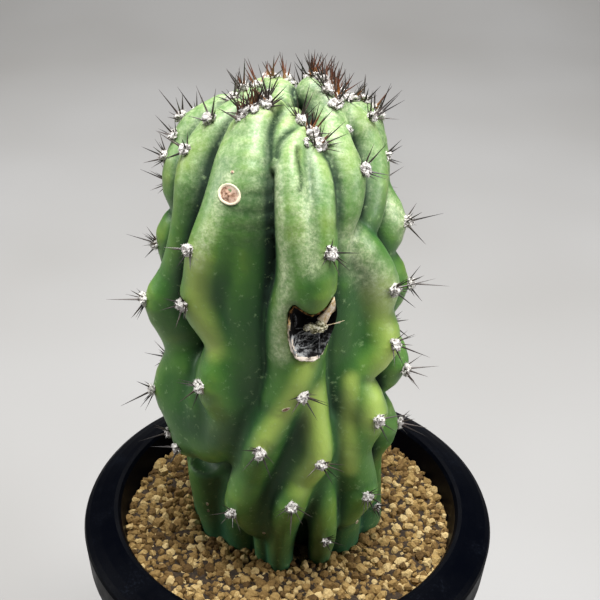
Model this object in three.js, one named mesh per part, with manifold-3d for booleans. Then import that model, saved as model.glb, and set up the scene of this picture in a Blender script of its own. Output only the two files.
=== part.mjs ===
// Potted monstrose cereus. Millimetres, +Z up, the front of the plant towards -Y.
import * as THREE from "three";
import { mergeVertices } from "three/addons/utils/BufferGeometryUtils.js";
import Module from "manifold-3d";

const wasm = await Module();
wasm.setup();

// Pot
const RIM_RADIUS = 75;
const LIP_RADIUS = 62.6;
const POT_HEIGHT = 130;
const RIM_DROP = 5.7;
const SKIRT_DEPTH = 13;
const SKIRT_WALL = 1.8;
const WALL = 1.9;
const BASE_RADIUS = 47;
const BASE_THICKNESS = 2.6;
const DRAIN_HOLES = 6;
const DRAIN_RADIUS = 4.5;
const DRAIN_CIRCLE = 30;
const POT_SEGMENTS = 72;

// Soil
const SOIL_LEVEL = 118.8;
const SOIL_RADIUS = 59.4;
const CLEARANCE = 0.35;
const GRAIN_RELIEF = 1.5;
const SOIL_RINGS = 8;

// Plant: a leaning axis, then heights above the soil
const AXIS_X = 0.5;
const AXIS_Y = 4;
const LEAN = -0.057;
const STUMP_DEPTH = 14;
const COLUMNS = 68;
const FRONT_DENSITY = 0.25;
const ROW_STEP = 4.2;
const CROWN_START = 115;
const CROWN_ROWS = 14;
const REACH = 9;
const STRAND_BLEND = 3;
const PATH_STEP = 5;

// Areoles
const WOOL_SINK = 0.55;
const SPINE_RADIUS = 0.5;
const SPINE_ROOT = 1.6;

// Rows of azimuth from the front in degrees, height above the soil, crest radius from the axis,
// radius of the rounded crest and radius of the flesh behind it.
const RIBS = [
  // rib at the far left
  {
    blend: 1.2,
    strands: [
      [
        [-118, 161, 20, 6, 7], [-101, 156, 28, 6, 7], [-95, 150, 31, 6.5, 7],
        [-86, 145, 33.5, 7, 8], [-84, 137, 35, 7, 8], [-84, 127, 33, 7, 8],
        [-86, 118, 39, 6.5, 8], [-88, 104, 38, 8, 9], [-94, 92, 41.5, 8, 9],
        [-96, 70, 41, 8, 9], [-95, 40, 38, 8, 10], [-94, 15, 37, 8, 10], [-92, 0, 36, 8, 10],
      ],
    ],
  },
  // rib left of the big left one, with its dim foot
  {
    blend: 1.2,
    strands: [
      [
        [-60, 76, 39.5, 8, 9], [-60, 62, 43.5, 8.5, 9], [-57, 52, 43, 8.5, 9],
      ],
      [
        [-95, 162.5, 13, 5.5, 6], [-78, 158.5, 20.5, 5.6, 6], [-70, 151, 28, 5.7, 6],
        [-63, 143, 32.3, 5.8, 6], [-61, 134, 34.3, 5.8, 6], [-62, 121, 37.3, 6, 6.3],
        [-67, 109, 40.5, 6.2, 7], [-70, 99, 45.5, 6.5, 7], [-70, 87, 41.5, 7.5, 9],
        [-67, 79, 41, 7.5, 9], [-69, 66, 46, 7, 9], [-62, 55, 43, 8, 9], [-60, 48, 42.5, 7, 8],
      ],
      [
        [-47, 70, 37.5, 9, 9], [-51, 61, 41, 9, 9], [-53, 53, 41.5, 9, 9],
      ],
      [
        [-60, 44, 36, 8, 9], [-66, 30, 37.3, 8, 9], [-68, 15, 36, 8, 9], [-68, 0, 33.5, 8, 9],
      ],
      [
        [-42, 30, 29.5, 8, 9], [-42, 18, 31, 8, 9], [-44, 4, 30, 8, 9],
      ],
    ],
  },
  // big left rib with its broad flank
  {
    blend: 0.9,
    strands: [
      [
        [10, 166, 7.9, 3.2, 4], [-14, 165.7, 9.5, 4.8, 5.5], [-29, 164, 13, 5.8, 6.5],
        [-33, 159, 18, 6.5, 7], [-30, 154, 24.5, 7, 7], [-29, 146, 31, 7, 7],
        [-30, 138, 36, 7, 7], [-34, 127, 40.5, 7, 7], [-37.5, 116, 41.3, 7, 7],
        [-39, 108, 42.2, 7, 7], [-31, 98, 39.5, 7.5, 7], [-28, 92, 40, 7.5, 7],
        [-31, 81, 44, 7, 10], [-28, 70, 41.5, 8, 10], [-34, 58, 41, 9, 10],
        [-46, 52, 41, 9, 10],
      ],
      [
        [8, 165.6, 8, 3.1, 3.6], [-9.7, 164.1, 11.2, 4.4, 5], [-16, 161, 17.1, 5.5, 6.5],
        [-14.5, 156, 24.3, 7, 8], [-14.5, 149.5, 30, 8, 9], [-16, 140, 33.5, 9.5, 10],
        [-18, 130, 35, 10.5, 10], [-19, 115, 37, 10.5, 10], [-19, 100, 38, 10.5, 10],
        [-18, 85, 38, 10.5, 10], [-21, 68, 37.5, 10.5, 10], [-26, 56, 37, 9, 9],
      ],
      [
        [-46, 78, 36.5, 8, 9], [-49, 67, 40.5, 9, 9], [-50, 55, 41.5, 9, 9],
      ],
    ],
  },
  // small lobe behind the front one
  {
    blend: 0.6,
    strands: [
      [
        [43.4, 164.1, 11.3, 2.6, 2.34], [30.4, 163.7, 12.1, 4.3, 3.87],
        [18.7, 161.7, 16, 4.5, 4.05], [10.6, 158.2, 20.8, 3.5, 3.15],
        [6, 154.6, 24.9, 2.2, 1.98],
      ],
    ],
  },
  // small lobe at the crown
  {
    blend: 0.8,
    strands: [
      [
        [172, 165, 17, 4.3, 4.8], [160, 166, 11, 4.4, 5], [130, 165.5, 5.5, 4.2, 5],
      ],
    ],
  },
  // flank under the front lobe
  {
    blend: 2,
    strands: [
      [
        [2, 84, 37, 7, 9], [-6, 62, 35, 7, 9], [-12, 40, 34, 7, 9],
      ],
    ],
  },
  // front lobe, its left half running on down
  {
    blend: 0.7,
    strands: [
      [
        [34, 160.8, 19.5, 2.7, 2.8], [27.5, 160.6, 20.3, 3.2, 3.2],
        [20.5, 159, 22.9, 3.6, 3.6], [15.5, 156.5, 27.3, 4, 4], [13.5, 152.9, 31.5, 4.3, 4.3],
        [13, 147.8, 35.6, 4.8, 5], [13, 141.5, 39.2, 5.4, 5.6], [13.5, 127, 43, 6.2, 6.5],
        [12, 118, 44, 6.5, 7], [8, 109, 41.5, 7, 7], [6, 100, 41, 7, 7], [6, 90, 41.5, 7, 7],
        [2, 80, 41, 7, 7],
      ],
    ],
  },
  // right half of the front lobe
  {
    blend: 1,
    strands: [
      [
        [33, 157, 24.8, 3.4, 3.4], [31.5, 154.2, 28.8, 4.5, 4.4], [28.2, 149.5, 33.8, 5.1, 5],
        [25.2, 144.3, 38.1, 5.3, 5.4], [23.2, 138.2, 40.5, 5.6, 6],
        [20.5, 128, 43.5, 6.4, 6.8], [19, 119.5, 45, 6.2, 6.8], [19.5, 112, 43, 5.4, 6],
        [18, 105, 41.6, 5, 5.8], [14, 97, 41.3, 5, 5.8], [10, 90, 41.8, 4.8, 5.4],
      ],
    ],
  },
  // rib from the wound down to the left
  {
    blend: 3,
    strands: [
      [
        [15, 74, 38, 6, 8], [7, 62, 38.5, 6, 8], [0, 51, 37, 6, 8], [-5, 42, 34, 6, 7],
      ],
      [
        [-14, 56, 37, 6, 7], [-15.7, 47.3, 39, 6.7, 7.4], [-17.4, 37.4, 38.5, 7.3, 8],
        [-19.7, 26.7, 36.3, 7, 7.7], [-22, 18, 33, 5.6, 6.1],
      ],
      [
        [16, 97, 40, 6, 7], [10, 87, 43, 6, 7], [1, 75, 43, 6, 7], [-7, 63, 45, 5.5, 7],
        [-15, 47, 41, 5.5, 7], [-23, 33, 42, 5, 7], [-20, 22, 36, 5, 7],
      ],
    ],
  },
  // ridge from the wound to the front foot
  {
    blend: 3.5,
    strands: [
      [
        [12.9, 65, 38.5, 5.5, 6], [12.5, 57, 39.2, 6.3, 7], [6.8, 46, 39, 7, 7.5],
        [0.7, 34, 35.5, 6.7, 7],
      ],
      [
        [17.5, 88, 38, 4.5, 5], [17, 73, 42, 4.5, 5], [17, 58, 45, 4.5, 5.5],
        [10, 47, 42, 5, 5.5], [4, 38, 44, 5, 5.5], [-1, 24, 38, 5.3, 5.5],
        [-4, 12, 35, 4.6, 4.4], [-5.5, 1, 32.5, 3.9, 3.8], [-6, -6, 30.5, 3.4, 3.4],
      ],
    ],
  },
  // second foot
  {
    blend: 3.5,
    strands: [
      [
        [20, 60, 38, 7, 8], [16.5, 50, 36.5, 6.5, 8], [14, 41, 33.5, 6, 7],
      ],
      [
        [29, 66, 37, 7, 9], [29.5, 50, 36.8, 7, 9], [30, 37, 34, 6, 8],
      ],
      [
        [22.5, 57, 38.4, 5, 6.5], [22, 45, 38.4, 5, 6], [22.5, 30, 39.5, 4.8, 5],
        [23, 17, 38, 4.1, 4.1], [24.5, 5, 32.4, 3.5, 3.5], [25.5, -5, 29.4, 3.2, 3.2],
      ],
    ],
  },
  // stub
  {
    blend: 1,
    strands: [
      [
        [-15.5, 27, 33, 3.6, 4.5], [-17, 13, 31, 3.2, 3.8], [-18.5, -1, 29, 3, 3.4],
      ],
    ],
  },
  // big right rib
  {
    blend: 0.8,
    strands: [
      [
        [112, 169.5, 14, 4.5, 4.5], [100, 168, 17.5, 5.5, 5.5], [88, 164.8, 19.8, 6.2, 6.2],
        [68, 161, 22.3, 6.4, 6.4], [56, 157.2, 27.4, 6.5, 6.5], [52, 152, 32.4, 6.8, 6.8],
        [48, 146.5, 34.8, 6.6, 6.6], [43, 140.5, 36, 6.2, 6.2], [38, 133.5, 35.5, 6, 6],
        [37, 127, 36, 8, 8], [34, 114, 34, 8, 8],
      ],
    ],
  },
  // lower right rib and its foot
  {
    blend: 1.2,
    strands: [
      [
        [39, 52, 38, 7, 8], [41, 44.3, 37.7, 6.9, 7.6], [40, 36, 36, 6.5, 7],
        [36, 30, 34.5, 5.3, 5.9],
      ],
      [
        [48, 129.5, 35.5, 6, 8], [53, 124, 39.5, 7, 9], [62, 111, 43, 7, 10],
        [62, 100, 41, 8, 10], [60, 90, 44.5, 7, 10], [50, 84, 41, 8, 10], [42, 79, 40, 8, 10],
        [48, 67, 45, 7, 9], [41, 54, 42, 7, 9], [45, 38, 42, 7, 9], [45, 34, 43, 6.5, 8],
        [40, 24, 38, 7, 8],
      ],
      [
        [40, 115, 36, 10, 10], [40, 100, 36, 11, 10], [37, 85, 36, 10, 10], [36, 65, 37, 8, 9],
        [36, 45, 36, 8, 9],
      ],
      [
        [44, 28, 35, 8, 8], [47, 15, 33.5, 8, 8], [52, 0, 30.5, 8, 8],
      ],
    ],
  },
  // second rib at the right
  {
    blend: 0.8,
    strands: [
      [
        [112, 165, 17, 5, 5], [94, 162.5, 26, 5.5, 5.5], [94, 157, 31, 6, 6],
        [87, 149, 34.5, 6.4, 6.4], [77, 141, 36, 6.4, 6.4], [65, 133, 36.2, 6.2, 6.4],
        [54, 125, 35, 6, 6.5],
      ],
    ],
  },
  // rib at the far right
  {
    blend: 1.2,
    strands: [
      [
        [135, 160, 22, 6, 8], [116, 158, 34, 6, 8], [104, 147, 36.5, 8, 9],
        [97, 135, 37, 8, 9], [90, 124, 42, 7, 9], [85, 114, 38, 8, 9], [88, 102, 43, 7, 9],
        [82, 89, 36.5, 8, 9], [77, 76, 44, 7, 8], [74, 64, 35.5, 7, 8], [72, 51, 41.5, 7, 8],
        [74, 38, 36, 7, 8], [77, 25, 35, 8, 9], [79, 5, 35, 8, 9],
      ],
    ],
  },
  // ribs round the back
  {
    blend: 1.6,
    strands: [
      [
        [-150, 163, 16, 6, 7], [-142, 158, 24, 7, 8], [-128, 150, 33, 8, 9],
        [-122, 138, 36.5, 8, 9], [-119, 126, 42, 7.5, 9], [-121, 113, 38.5, 8, 9],
        [-123, 99, 44, 7.5, 9], [-120, 84, 39.5, 8, 9], [-118, 70, 44, 7.5, 9],
        [-121, 54, 39, 8, 9], [-124, 42, 41.5, 8, 9], [-120, 22, 37, 8, 10],
        [-118, 0, 35, 8, 10],
      ],
    ],
  },
  {
    blend: 1.6,
    strands: [
      [
        [150, 161, 20, 7, 8], [138, 149, 33, 8, 9], [131, 136, 37, 8, 9],
        [128, 125, 42.5, 7.5, 9], [132, 111, 38, 8, 9], [136, 98, 44, 7.5, 9],
        [133, 84, 39, 8, 9], [130, 71, 44.5, 7.5, 9], [133, 56, 39, 8, 9],
        [129, 43, 42.5, 8, 9], [127, 22, 39, 8, 10], [125, 0, 38, 8, 10],
      ],
    ],
  },
  {
    blend: 1.6,
    strands: [
      [
        [178, 164, 18, 7, 8], [171, 151, 33, 8, 9], [166, 138, 37.5, 8, 9],
        [165, 121, 43, 7.5, 9], [169, 107, 38.5, 8, 9], [173, 93, 44.5, 7.5, 9],
        [171, 79, 39.5, 8, 9], [168, 65, 44, 7.5, 9], [171, 50, 39, 8, 9], [173, 36, 41, 8, 9],
        [171, 16, 36, 8, 10], [170, 0, 34, 8, 10],
      ],
    ],
  },
  {
    blend: 1.6,
    strands: [
      [
        [-172, 163, 22, 7, 8], [-162, 149, 33.5, 8, 9], [-156, 136, 38, 8, 9],
        [-154, 118, 43, 7.5, 9], [-157, 104, 38.5, 8, 9], [-160, 91, 44, 7.5, 9],
        [-157, 76, 39, 8, 9], [-153, 62, 44, 7.5, 9], [-156, 48, 39, 8, 9],
        [-159, 34, 40.5, 8, 9], [-158, 15, 36, 8, 10], [-158, 0, 34, 8, 10],
      ],
    ],
  },
];
const GROOVES = [
  {
    blend: 2.5,
    path: [
      [-74, 37, 33.5, 3.5], [-62, 37.5, 33.5, 4.5], [-48, 38.5, 33, 4.8], [-36, 37.5, 32, 4],
      [-29, 35, 31, 3],
    ],
  },
  {
    blend: 0.8,
    path: [
      [10.5, 110.5, 41.5, 3.6], [13, 107.3, 41.5, 5.6], [15, 104, 41, 6.6],
      [15.5, 101.3, 41, 6.3], [14.5, 99.8, 41.3, 5],
    ],
  },
];
const CORE = [
  [180, -8, 3.5, 21], [180, 18, 2.5, 24], [0, 60, 0, 27], [0, 100, 0, 27], [0, 125, 0, 25],
  [0, 137, 0, 22],
];

// Rows of azimuth, height, wool radius and spines as [sideways, upwards, length].
const AREOLES = [
  [-100, 155, 2.1, [[0.1, 0.15, 11], [0.5, 0.8, 8], [-0.4, 0.9, 7]]],
  [-91, 150.7, 1.9, [[0.2, 0.3, 9], [-0.3, -0.5, 6]]],
  [-85.5, 145, 1.9, [[0.2, 0.1, 8], [-0.2, -0.9, 7], [0.5, 0.5, 6]]],
  [-85, 115, 1.8, [[0, 0.35, 10], [0.1, -1.1, 6], [0.4, 0.9, 5]]],
  [-94, 92, 1.9, [[0.1, 0.1, 7], [0, -0.9, 6]]],
  [-95, 66, 1.9, [[0.1, 0.2, 8], [0, -0.8, 6]]],
  [-73, 159, 2.2, [[-0.9, 0.3, 11], [0.2, 0.9, 10], [0.9, -0.6, 6]]],
  [-68, 151, 2.1, [[-0.8, -0.1, 10], [0.3, -1, 7], [0.6, 0.6, 6]]],
  [-70, 101, 2.1, [[-0.2, 0.05, 12], [0.1, 0.9, 6], [0.2, -1, 7]]],
  [-69, 66.5, 2.1, [[-0.1, -0.45, 12], [0.1, 0.8, 7], [0.3, -0.9, 7]]],
  [-64, 50.5, 1.9, [[-0.3, -0.3, 11], [-0.2, 0.7, 6]]],
  [-56, 48, 2, [[-0.8, -0.1, 9], [0.5, -0.7, 7]]],
  [-34.5, 163.8, 1.8, [[-0.9, 0.2, 8], [-0.6, -0.2, 9], [0.2, 0.6, 8]]],
  [-22, 165, 1.8, [[-0.3, 0.4, 9], [0.3, 0.5, 9]]],
  [-4, 165.8, 1.8, [[0.1, 0.6, 10], [0.8, 0.1, 9]]],
  [-38, 128.3, 2.2, [[1, 0.7, 8], [-1, 0.05, 7], [1, -0.6, 8], [-0.2, -1.1, 6]]],
  [-41.5, 109.5, 2.2, [[1, 0.6, 7], [-0.9, -0.4, 7], [0.3, -1.1, 7], [-0.7, 0.5, 6]]],
  [-34, 82.3, 2.2, [[1, 0.4, 7], [-0.7, -0.8, 8], [0.1, -1.1, 7], [-1, 0.4, 7]]],
  [41, 161.5, 2, [[0.3, 0.5, 11], [0.5, 0.4, 9], [-0.8, 0.5, 8]]],
  [38, 160, 2.2, [[0.3, 0.6, 9], [-0.4, 0.7, 9], [0.9, 0.3, 9]]],
  [39, 157, 2.4, [[1, 0.3, 10], [1, -0.2, 9], [0.2, 0.9, 7]]],
  [24.5, 132.5, 2.2, [[-0.7, 0.9, 7], [1, 0.1, 8], [0.7, -0.9, 7]]],
  [11, 84, 2.2, [[1, 0.05, 9], [0.6, -0.9, 8], [-0.8, -0.4, 7]]],
  [-7.6, 64, 2.1, [[-0.8, 0.7, 8], [0.7, -0.8, 9], [-0.8, -0.7, 8], [0.9, 0.1, 6]]],
  [-24, 32.7, 2, [[-0.5, -0.6, 5], [0.5, -0.5, 5]]],
  [17, 58.4, 2.1, [[0.9, 0.1, 8], [0.5, 0.9, 6], [0.5, -0.9, 7], [-0.9, 0.3, 5]]],
  [4.3, 40.7, 2.1, [[-0.1, -0.9, 9], [1, 0.1, 8], [-1, 0.05, 7]]],
  [59, 111.5, 2.3, [[0.7, 0.35, 13], [0.1, 0.9, 8], [0.4, -0.8, 9]]],
  [57.5, 92.5, 2.2, [[0.8, -0.6, 13], [0.5, 0.7, 7], [-0.4, -0.9, 7]]],
  [45, 68, 2.2, [[0.9, 0.4, 10], [0, -1, 8], [0.7, -0.7, 7]]],
  [42, 36, 2, [[0, -1, 8], [0.6, -0.5, 7], [-0.8, -0.3, 6]]],
  [21, 19, 1.7, [[0.1, -0.3, 5]]],
  [56, 150, 2.3, [[0.8, 0.5, 10], [0.4, 0.9, 8], [0.5, -0.8, 8], [-0.2, -0.7, 6]]],
  [114, 169.3, 1.8, [[-0.2, 0.7, 11], [0.3, 0.5, 9]]],
  [104, 168.6, 1.8, [[0.2, 0.6, 10], [-0.5, 0.5, 8]]],
  [90, 167.6, 1.9, [[-0.3, 0.8, 9], [0.6, 0.4, 10]]],
  [79, 165.6, 1.9, [[0.6, 0.4, 9], [0.7, 0, 9]]],
  [92, 158.5, 2, [[0.5, -0.3, 13], [0.5, -0.6, 12], [0.2, 0.7, 8]]],
  [97, 163.5, 1.8, [[0.3, 0.5, 9], [0.7, 0.2, 8]]],
  [117, 159, 1.9, [[0.1, 0.6, 8], [0.6, 0.2, 8]]],
  [108, 155.5, 2.1, [[-0.1, 0.5, 11], [0.3, -0.2, 10], [-0.4, 0.8, 7]]],
  [92, 146, 1.8, [[0, 0.4, 7], [0.1, 0.1, 6]]],
  [87, 125, 2.2, [[-0.1, 0.3, 12], [-0.5, 0.9, 7], [-0.6, -0.9, 9]]],
  [86, 103, 2.1, [[-0.1, 0.05, 13], [-0.3, 0.8, 6], [-0.4, -1, 7]]],
  [82, 89, 1.8, [[-0.1, -0.7, 8], [-0.2, 0.4, 6]]],
  [73, 75.5, 2.1, [[0.2, 0.2, 11], [0.2, -0.3, 8], [-0.3, -0.9, 8]]],
  [74, 52, 2, [[0.1, -0.4, 11], [0.3, -0.2, 10], [0, 0.5, 6]]],
  [72, 13, 1.6, [[0.1, 0.2, 5]]],
  [100, 165, 1.8, [[-0.9, 0.2, 8], [-0.4, 0.6, 8]]],
  [-111, 161.5, 2.1, [[-0.6, 0.5, 10], [0.3, 0.8, 9]]],
  [-141, 163, 2, [[0.2, 0.8, 11], [0.8, 0.3, 9]]],
  [-163, 164.5, 2, [[0.4, 0.7, 12], [-0.5, 0.5, 9]]],
  [127, 169, 1.7, [[0.1, 0.8, 11], [-0.5, 0.4, 9]]],
  [150, 161.5, 1.9, [[0.1, 0.5, 9], [0.6, 0.3, 8]]],
  [-128, 150.5, 2, [[0.2, 0.3, 10], [-0.5, 0.6, 7]]],
  [-119, 126, 2.1, [[0.1, 0.1, 11], [0.6, 0.6, 7], [-0.5, -0.7, 7]]],
  [-123, 99, 2.1, [[0, 0.1, 12], [0.6, -0.6, 7], [-0.6, 0.6, 7]]],
  [-118, 70, 2.1, [[0.1, -0.1, 11], [0.6, 0.6, 7], [-0.6, -0.6, 7]]],
  [-124, 42, 2, [[0, 0, 9], [0.7, 0.2, 7]]],
  [138, 149.5, 2, [[0, 0.3, 10], [-0.5, 0.6, 7]]],
  [128, 125, 2.1, [[0, 0.2, 12], [0.6, 0.5, 7], [-0.6, -0.6, 7]]],
  [136, 98, 2.1, [[0, 0, 11], [0.6, -0.6, 7], [-0.6, 0.6, 7]]],
  [130, 71, 2.1, [[0.1, -0.2, 11], [0.6, 0.6, 7], [-0.7, -0.4, 7]]],
  [129, 43, 2, [[0, 0, 9], [-0.6, 0.4, 7]]],
  [171, 151.5, 2, [[0, 0.4, 10], [0.6, 0.4, 7]]],
  [165, 121, 2.1, [[0, 0.1, 12], [0.6, 0.6, 7], [-0.6, -0.6, 7]]],
  [173, 93, 2.1, [[0, -0.1, 11], [-0.6, 0.6, 7], [0.6, -0.6, 7]]],
  [168, 65, 2.1, [[0, 0.1, 11], [0.6, 0.5, 7], [-0.6, -0.5, 7]]],
  [173, 36, 2, [[0, 0.1, 8], [-0.6, 0.4, 6]]],
  [-162, 149.5, 2, [[0.1, 0.4, 10], [-0.6, 0.4, 7]]],
  [-154, 118, 2.1, [[0, 0.1, 12], [0.6, -0.6, 7], [-0.6, 0.6, 7]]],
  [-160, 91, 2.1, [[0, 0.1, 11], [0.6, 0.6, 7], [-0.6, -0.6, 7]]],
  [-153, 62, 2.1, [[0, -0.1, 11], [0.6, 0.5, 7], [-0.6, 0.4, 7]]],
  [-159, 34, 2, [[0, 0.1, 8], [0.6, 0.4, 6]]],
];

function randomFrom(seed) {
  let state = seed;
  return () => {
    state = (state * 1664525 + 1013904223) % 4294967296;
    return state / 4294967296;
  };
}

const toRadians = Math.PI / 180;

function axisAt(height) {
  return new THREE.Vector3(AXIS_X + LEAN * height, AXIS_Y, height);
}

function outward(azimuth, elevation) {
  const flat = Math.cos(elevation);
  return new THREE.Vector3(
    Math.sin(azimuth) * flat,
    -Math.cos(azimuth) * flat,
    Math.sin(elevation),
  );
}

// How far the surface has turned upwards at a height, from the column to the crown.
const TURN_HEIGHTS = [120, 138, 145, 150, 155, 160, 165, 169];
const TURN_DEGREES = [0, 15, 25, 35, 45, 57, 72, 85];
function turnAt(height) {
  if (height <= TURN_HEIGHTS[0]) return 0;
  const last = TURN_HEIGHTS.length - 1;
  if (height >= TURN_HEIGHTS[last]) return TURN_DEGREES[last] * toRadians;
  let i = 0;
  while (height > TURN_HEIGHTS[i + 1]) i += 1;
  const t = (height - TURN_HEIGHTS[i]) / (TURN_HEIGHTS[i + 1] - TURN_HEIGHTS[i]);
  return (TURN_DEGREES[i] + t * (TURN_DEGREES[i + 1] - TURN_DEGREES[i])) * toRadians;
}

// A smooth path of balls through the given ones, as [x, y, z, radius].
function smoothPath(balls, step) {
  const first = balls[0].map((v, k) => 2 * v - balls[1][k]);
  const end = balls[balls.length - 1];
  const last = end.map((v, k) => 2 * v - balls[balls.length - 2][k]);
  const all = [first, ...balls, last];
  const path = [];
  for (let i = 1; i < all.length - 2; i += 1) {
    const [a, b, c, d] = [all[i - 1], all[i], all[i + 1], all[i + 2]];
    const length = Math.hypot(c[0] - b[0], c[1] - b[1], c[2] - b[2]);
    const pieces = Math.max(1, Math.ceil(length / step));
    for (let j = 0; j < pieces; j += 1) {
      const t = j / pieces;
      path.push(
        b.map((v, k) => {
          const bend = 2 * a[k] - 5 * v + 4 * c[k] - d[k];
          const turn = -a[k] + 3 * v - 3 * c[k] + d[k];
          return 0.5 * (2 * v + (c[k] - a[k]) * t + bend * t * t + turn * t * t * t);
        }),
      );
    }
  }
  path.push(end);
  return path;
}

function crestPath(rows, inner) {
  const balls = rows.map(([azimuth, height, crest, radius, flesh]) => {
    const angle = azimuth * toRadians;
    const back = inner ? radius + 0.62 * flesh : radius;
    const place = axisAt(height);
    place.add(outward(angle, 0).multiplyScalar(crest));
    place.addScaledVector(outward(angle, turnAt(height)), -back);
    return [place.x, place.y, place.z, inner ? flesh : radius];
  });
  return tubeOf(smoothPath(balls, PATH_STEP));
}

function plainPath(rows, step) {
  const balls = rows.map(([azimuth, height, distance, radius]) => {
    const place = axisAt(height);
    place.add(outward(azimuth * toRadians, 0).multiplyScalar(distance));
    return [place.x, place.y, place.z, radius];
  });
  return tubeOf(smoothPath(balls, step));
}

// A tube keeps its balls and the box round them.
function tubeOf(path) {
  const box = new THREE.Box3();
  for (const [x, y, z, radius] of path) {
    const reach = radius + REACH;
    box.expandByPoint(new THREE.Vector3(x - reach, y - reach, z - reach));
    box.expandByPoint(new THREE.Vector3(x + reach, y + reach, z + reach));
  }
  return { path, box };
}

function tubeDistance(tube, p) {
  let best = REACH;
  if (!tube.box.containsPoint(p)) return best;
  const path = tube.path;
  for (let i = 0; i < path.length - 1; i += 1) {
    const a = path[i];
    const b = path[i + 1];
    const abx = b[0] - a[0];
    const aby = b[1] - a[1];
    const abz = b[2] - a[2];
    const px = p.x - a[0];
    const py = p.y - a[1];
    const pz = p.z - a[2];
    const square = abx * abx + aby * aby + abz * abz;
    const along = (px * abx + py * aby + pz * abz) / square;
    const t = Math.min(1, Math.max(0, along));
    const dx = px - t * abx;
    const dy = py - t * aby;
    const dz = pz - t * abz;
    const d = Math.sqrt(dx * dx + dy * dy + dz * dz) - (a[3] + t * (b[3] - a[3]));
    if (d < best) best = d;
  }
  return best;
}

function smoothMin(a, b, k) {
  const h = Math.min(1, Math.max(0, 0.5 + (0.5 * (b - a)) / k));
  return b * (1 - h) + a * h - k * h * (1 - h);
}

const coreTube = plainPath(CORE, PATH_STEP);
const ribTubes = RIBS.map((rib) => ({
  blend: rib.blend,
  pairs: rib.strands.map((rows) => [crestPath(rows, true), crestPath(rows, false)]),
}));
const grooveTubes = GROOVES.map((groove) => ({
  blend: groove.blend,
  tube: plainPath(groove.path, 3),
}));

// Signed distance to the skin of the plant, capped at REACH outside.
function skinDistance(p) {
  let field = tubeDistance(coreTube, p);
  for (const rib of ribTubes) {
    let own = REACH;
    for (const [inner, outer] of rib.pairs) {
      const strand = smoothMin(tubeDistance(inner, p), tubeDistance(outer, p), STRAND_BLEND);
      own = smoothMin(own, strand, STRAND_BLEND);
    }
    field = smoothMin(field, own, rib.blend);
  }
  for (const groove of grooveTubes) {
    field = -smoothMin(-field, tubeDistance(groove.tube, p), groove.blend);
  }
  return field;
}

// Distance from a point inside to the skin along a direction, found from outside.
function reachOfSkin(origin, direction, start) {
  const p = new THREE.Vector3();
  let t = start;
  let field = 1;
  while (t > 0.5) {
    field = skinDistance(p.copy(origin).addScaledVector(direction, t));
    if (field < 0.02) break;
    t -= Math.max(0.1, field * 0.8);
  }
  let near = t;
  let far = t + 0.8;
  for (let i = 0; i < 8; i += 1) {
    const middle = (near + far) / 2;
    field = skinDistance(p.copy(origin).addScaledVector(direction, middle));
    if (field < 0) near = middle;
    else far = middle;
  }
  return (near + far) / 2;
}

// The columns stand closer together at the front, where the ribs are finest.
const angles = [];
for (let i = 0; i < COLUMNS; i += 1) {
  const turn = (i * 2 * Math.PI) / COLUMNS;
  angles.push(turn - FRONT_DENSITY * Math.sin(turn));
}

function ringAt(height, radii) {
  const centre = axisAt(height);
  return angles.map((angle, i) => centre.clone().addScaledVector(outward(angle, 0), radii[i]));
}

// The outline of the plant at the soil, which its stump and the hole keep below it.
const foot = angles.map((angle) => reachOfSkin(axisAt(0), outward(angle, 0), 60));
function footRing(extra, z) {
  return ringAt(0, foot.map((r) => r + extra)).map((p) => p.setZ(z));
}

// Closed solid from stacked rings of equal count, capped at both ends by one point.
function ringSolid(rings, bottom, top) {
  const count = rings[0].length;
  const vertices = [];
  for (const ring of rings) for (const p of ring) vertices.push(p.x, p.y, p.z);
  const bottomIndex = vertices.length / 3;
  vertices.push(bottom.x, bottom.y, bottom.z, top.x, top.y, top.z);
  const triangles = [];
  for (let j = 0; j < rings.length - 1; j += 1) {
    for (let i = 0; i < count; i += 1) {
      const next = (i + 1) % count;
      const a = j * count + i;
      const b = j * count + next;
      const c = (j + 1) * count + next;
      const d = (j + 1) * count + i;
      const straight = rings[j][i].distanceTo(rings[j + 1][next]);
      const crossed = rings[j][next].distanceTo(rings[j + 1][i]);
      if (straight < crossed) triangles.push(a, b, c, a, c, d);
      else triangles.push(a, b, d, b, c, d);
    }
  }
  const lastRow = (rings.length - 1) * count;
  for (let i = 0; i < count; i += 1) {
    const next = (i + 1) % count;
    triangles.push(bottomIndex, next, i);
    triangles.push(bottomIndex + 1, lastRow + i, lastRow + next);
  }
  return solidFrom(vertices, triangles);
}

function solidFrom(vertices, triangles) {
  const mesh = new wasm.Mesh({
    numProp: 3,
    vertProperties: new Float32Array(vertices),
    triVerts: new Uint32Array(triangles),
  });
  return new wasm.Manifold(mesh);
}

function bodySolid() {
  const rings = [];
  rings.push(footRing(0, -STUMP_DEPTH + CLEARANCE));
  rings.push(footRing(0, 0));
  for (let h = ROW_STEP; h < CROWN_START; h += ROW_STEP) {
    const centre = axisAt(h);
    rings.push(ringAt(h, angles.map((angle) => reachOfSkin(centre, outward(angle, 0), 60))));
  }
  const crown = axisAt(CROWN_START);
  for (let j = 0; j < CROWN_ROWS; j += 1) {
    const lift = ((j + 0.35) / CROWN_ROWS) * 90 * toRadians;
    rings.push(
      angles.map((angle) => {
        const direction = outward(angle, lift);
        const reach = reachOfSkin(crown, direction, 70);
        return crown.clone().addScaledVector(direction, reach);
      }),
    );
  }
  const up = new THREE.Vector3(0, 0, 1);
  const top = crown.clone().addScaledVector(up, reachOfSkin(crown, up, 70));
  return ringSolid(rings, axisAt(0).setZ(-STUMP_DEPTH + CLEARANCE), top);
}

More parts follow.
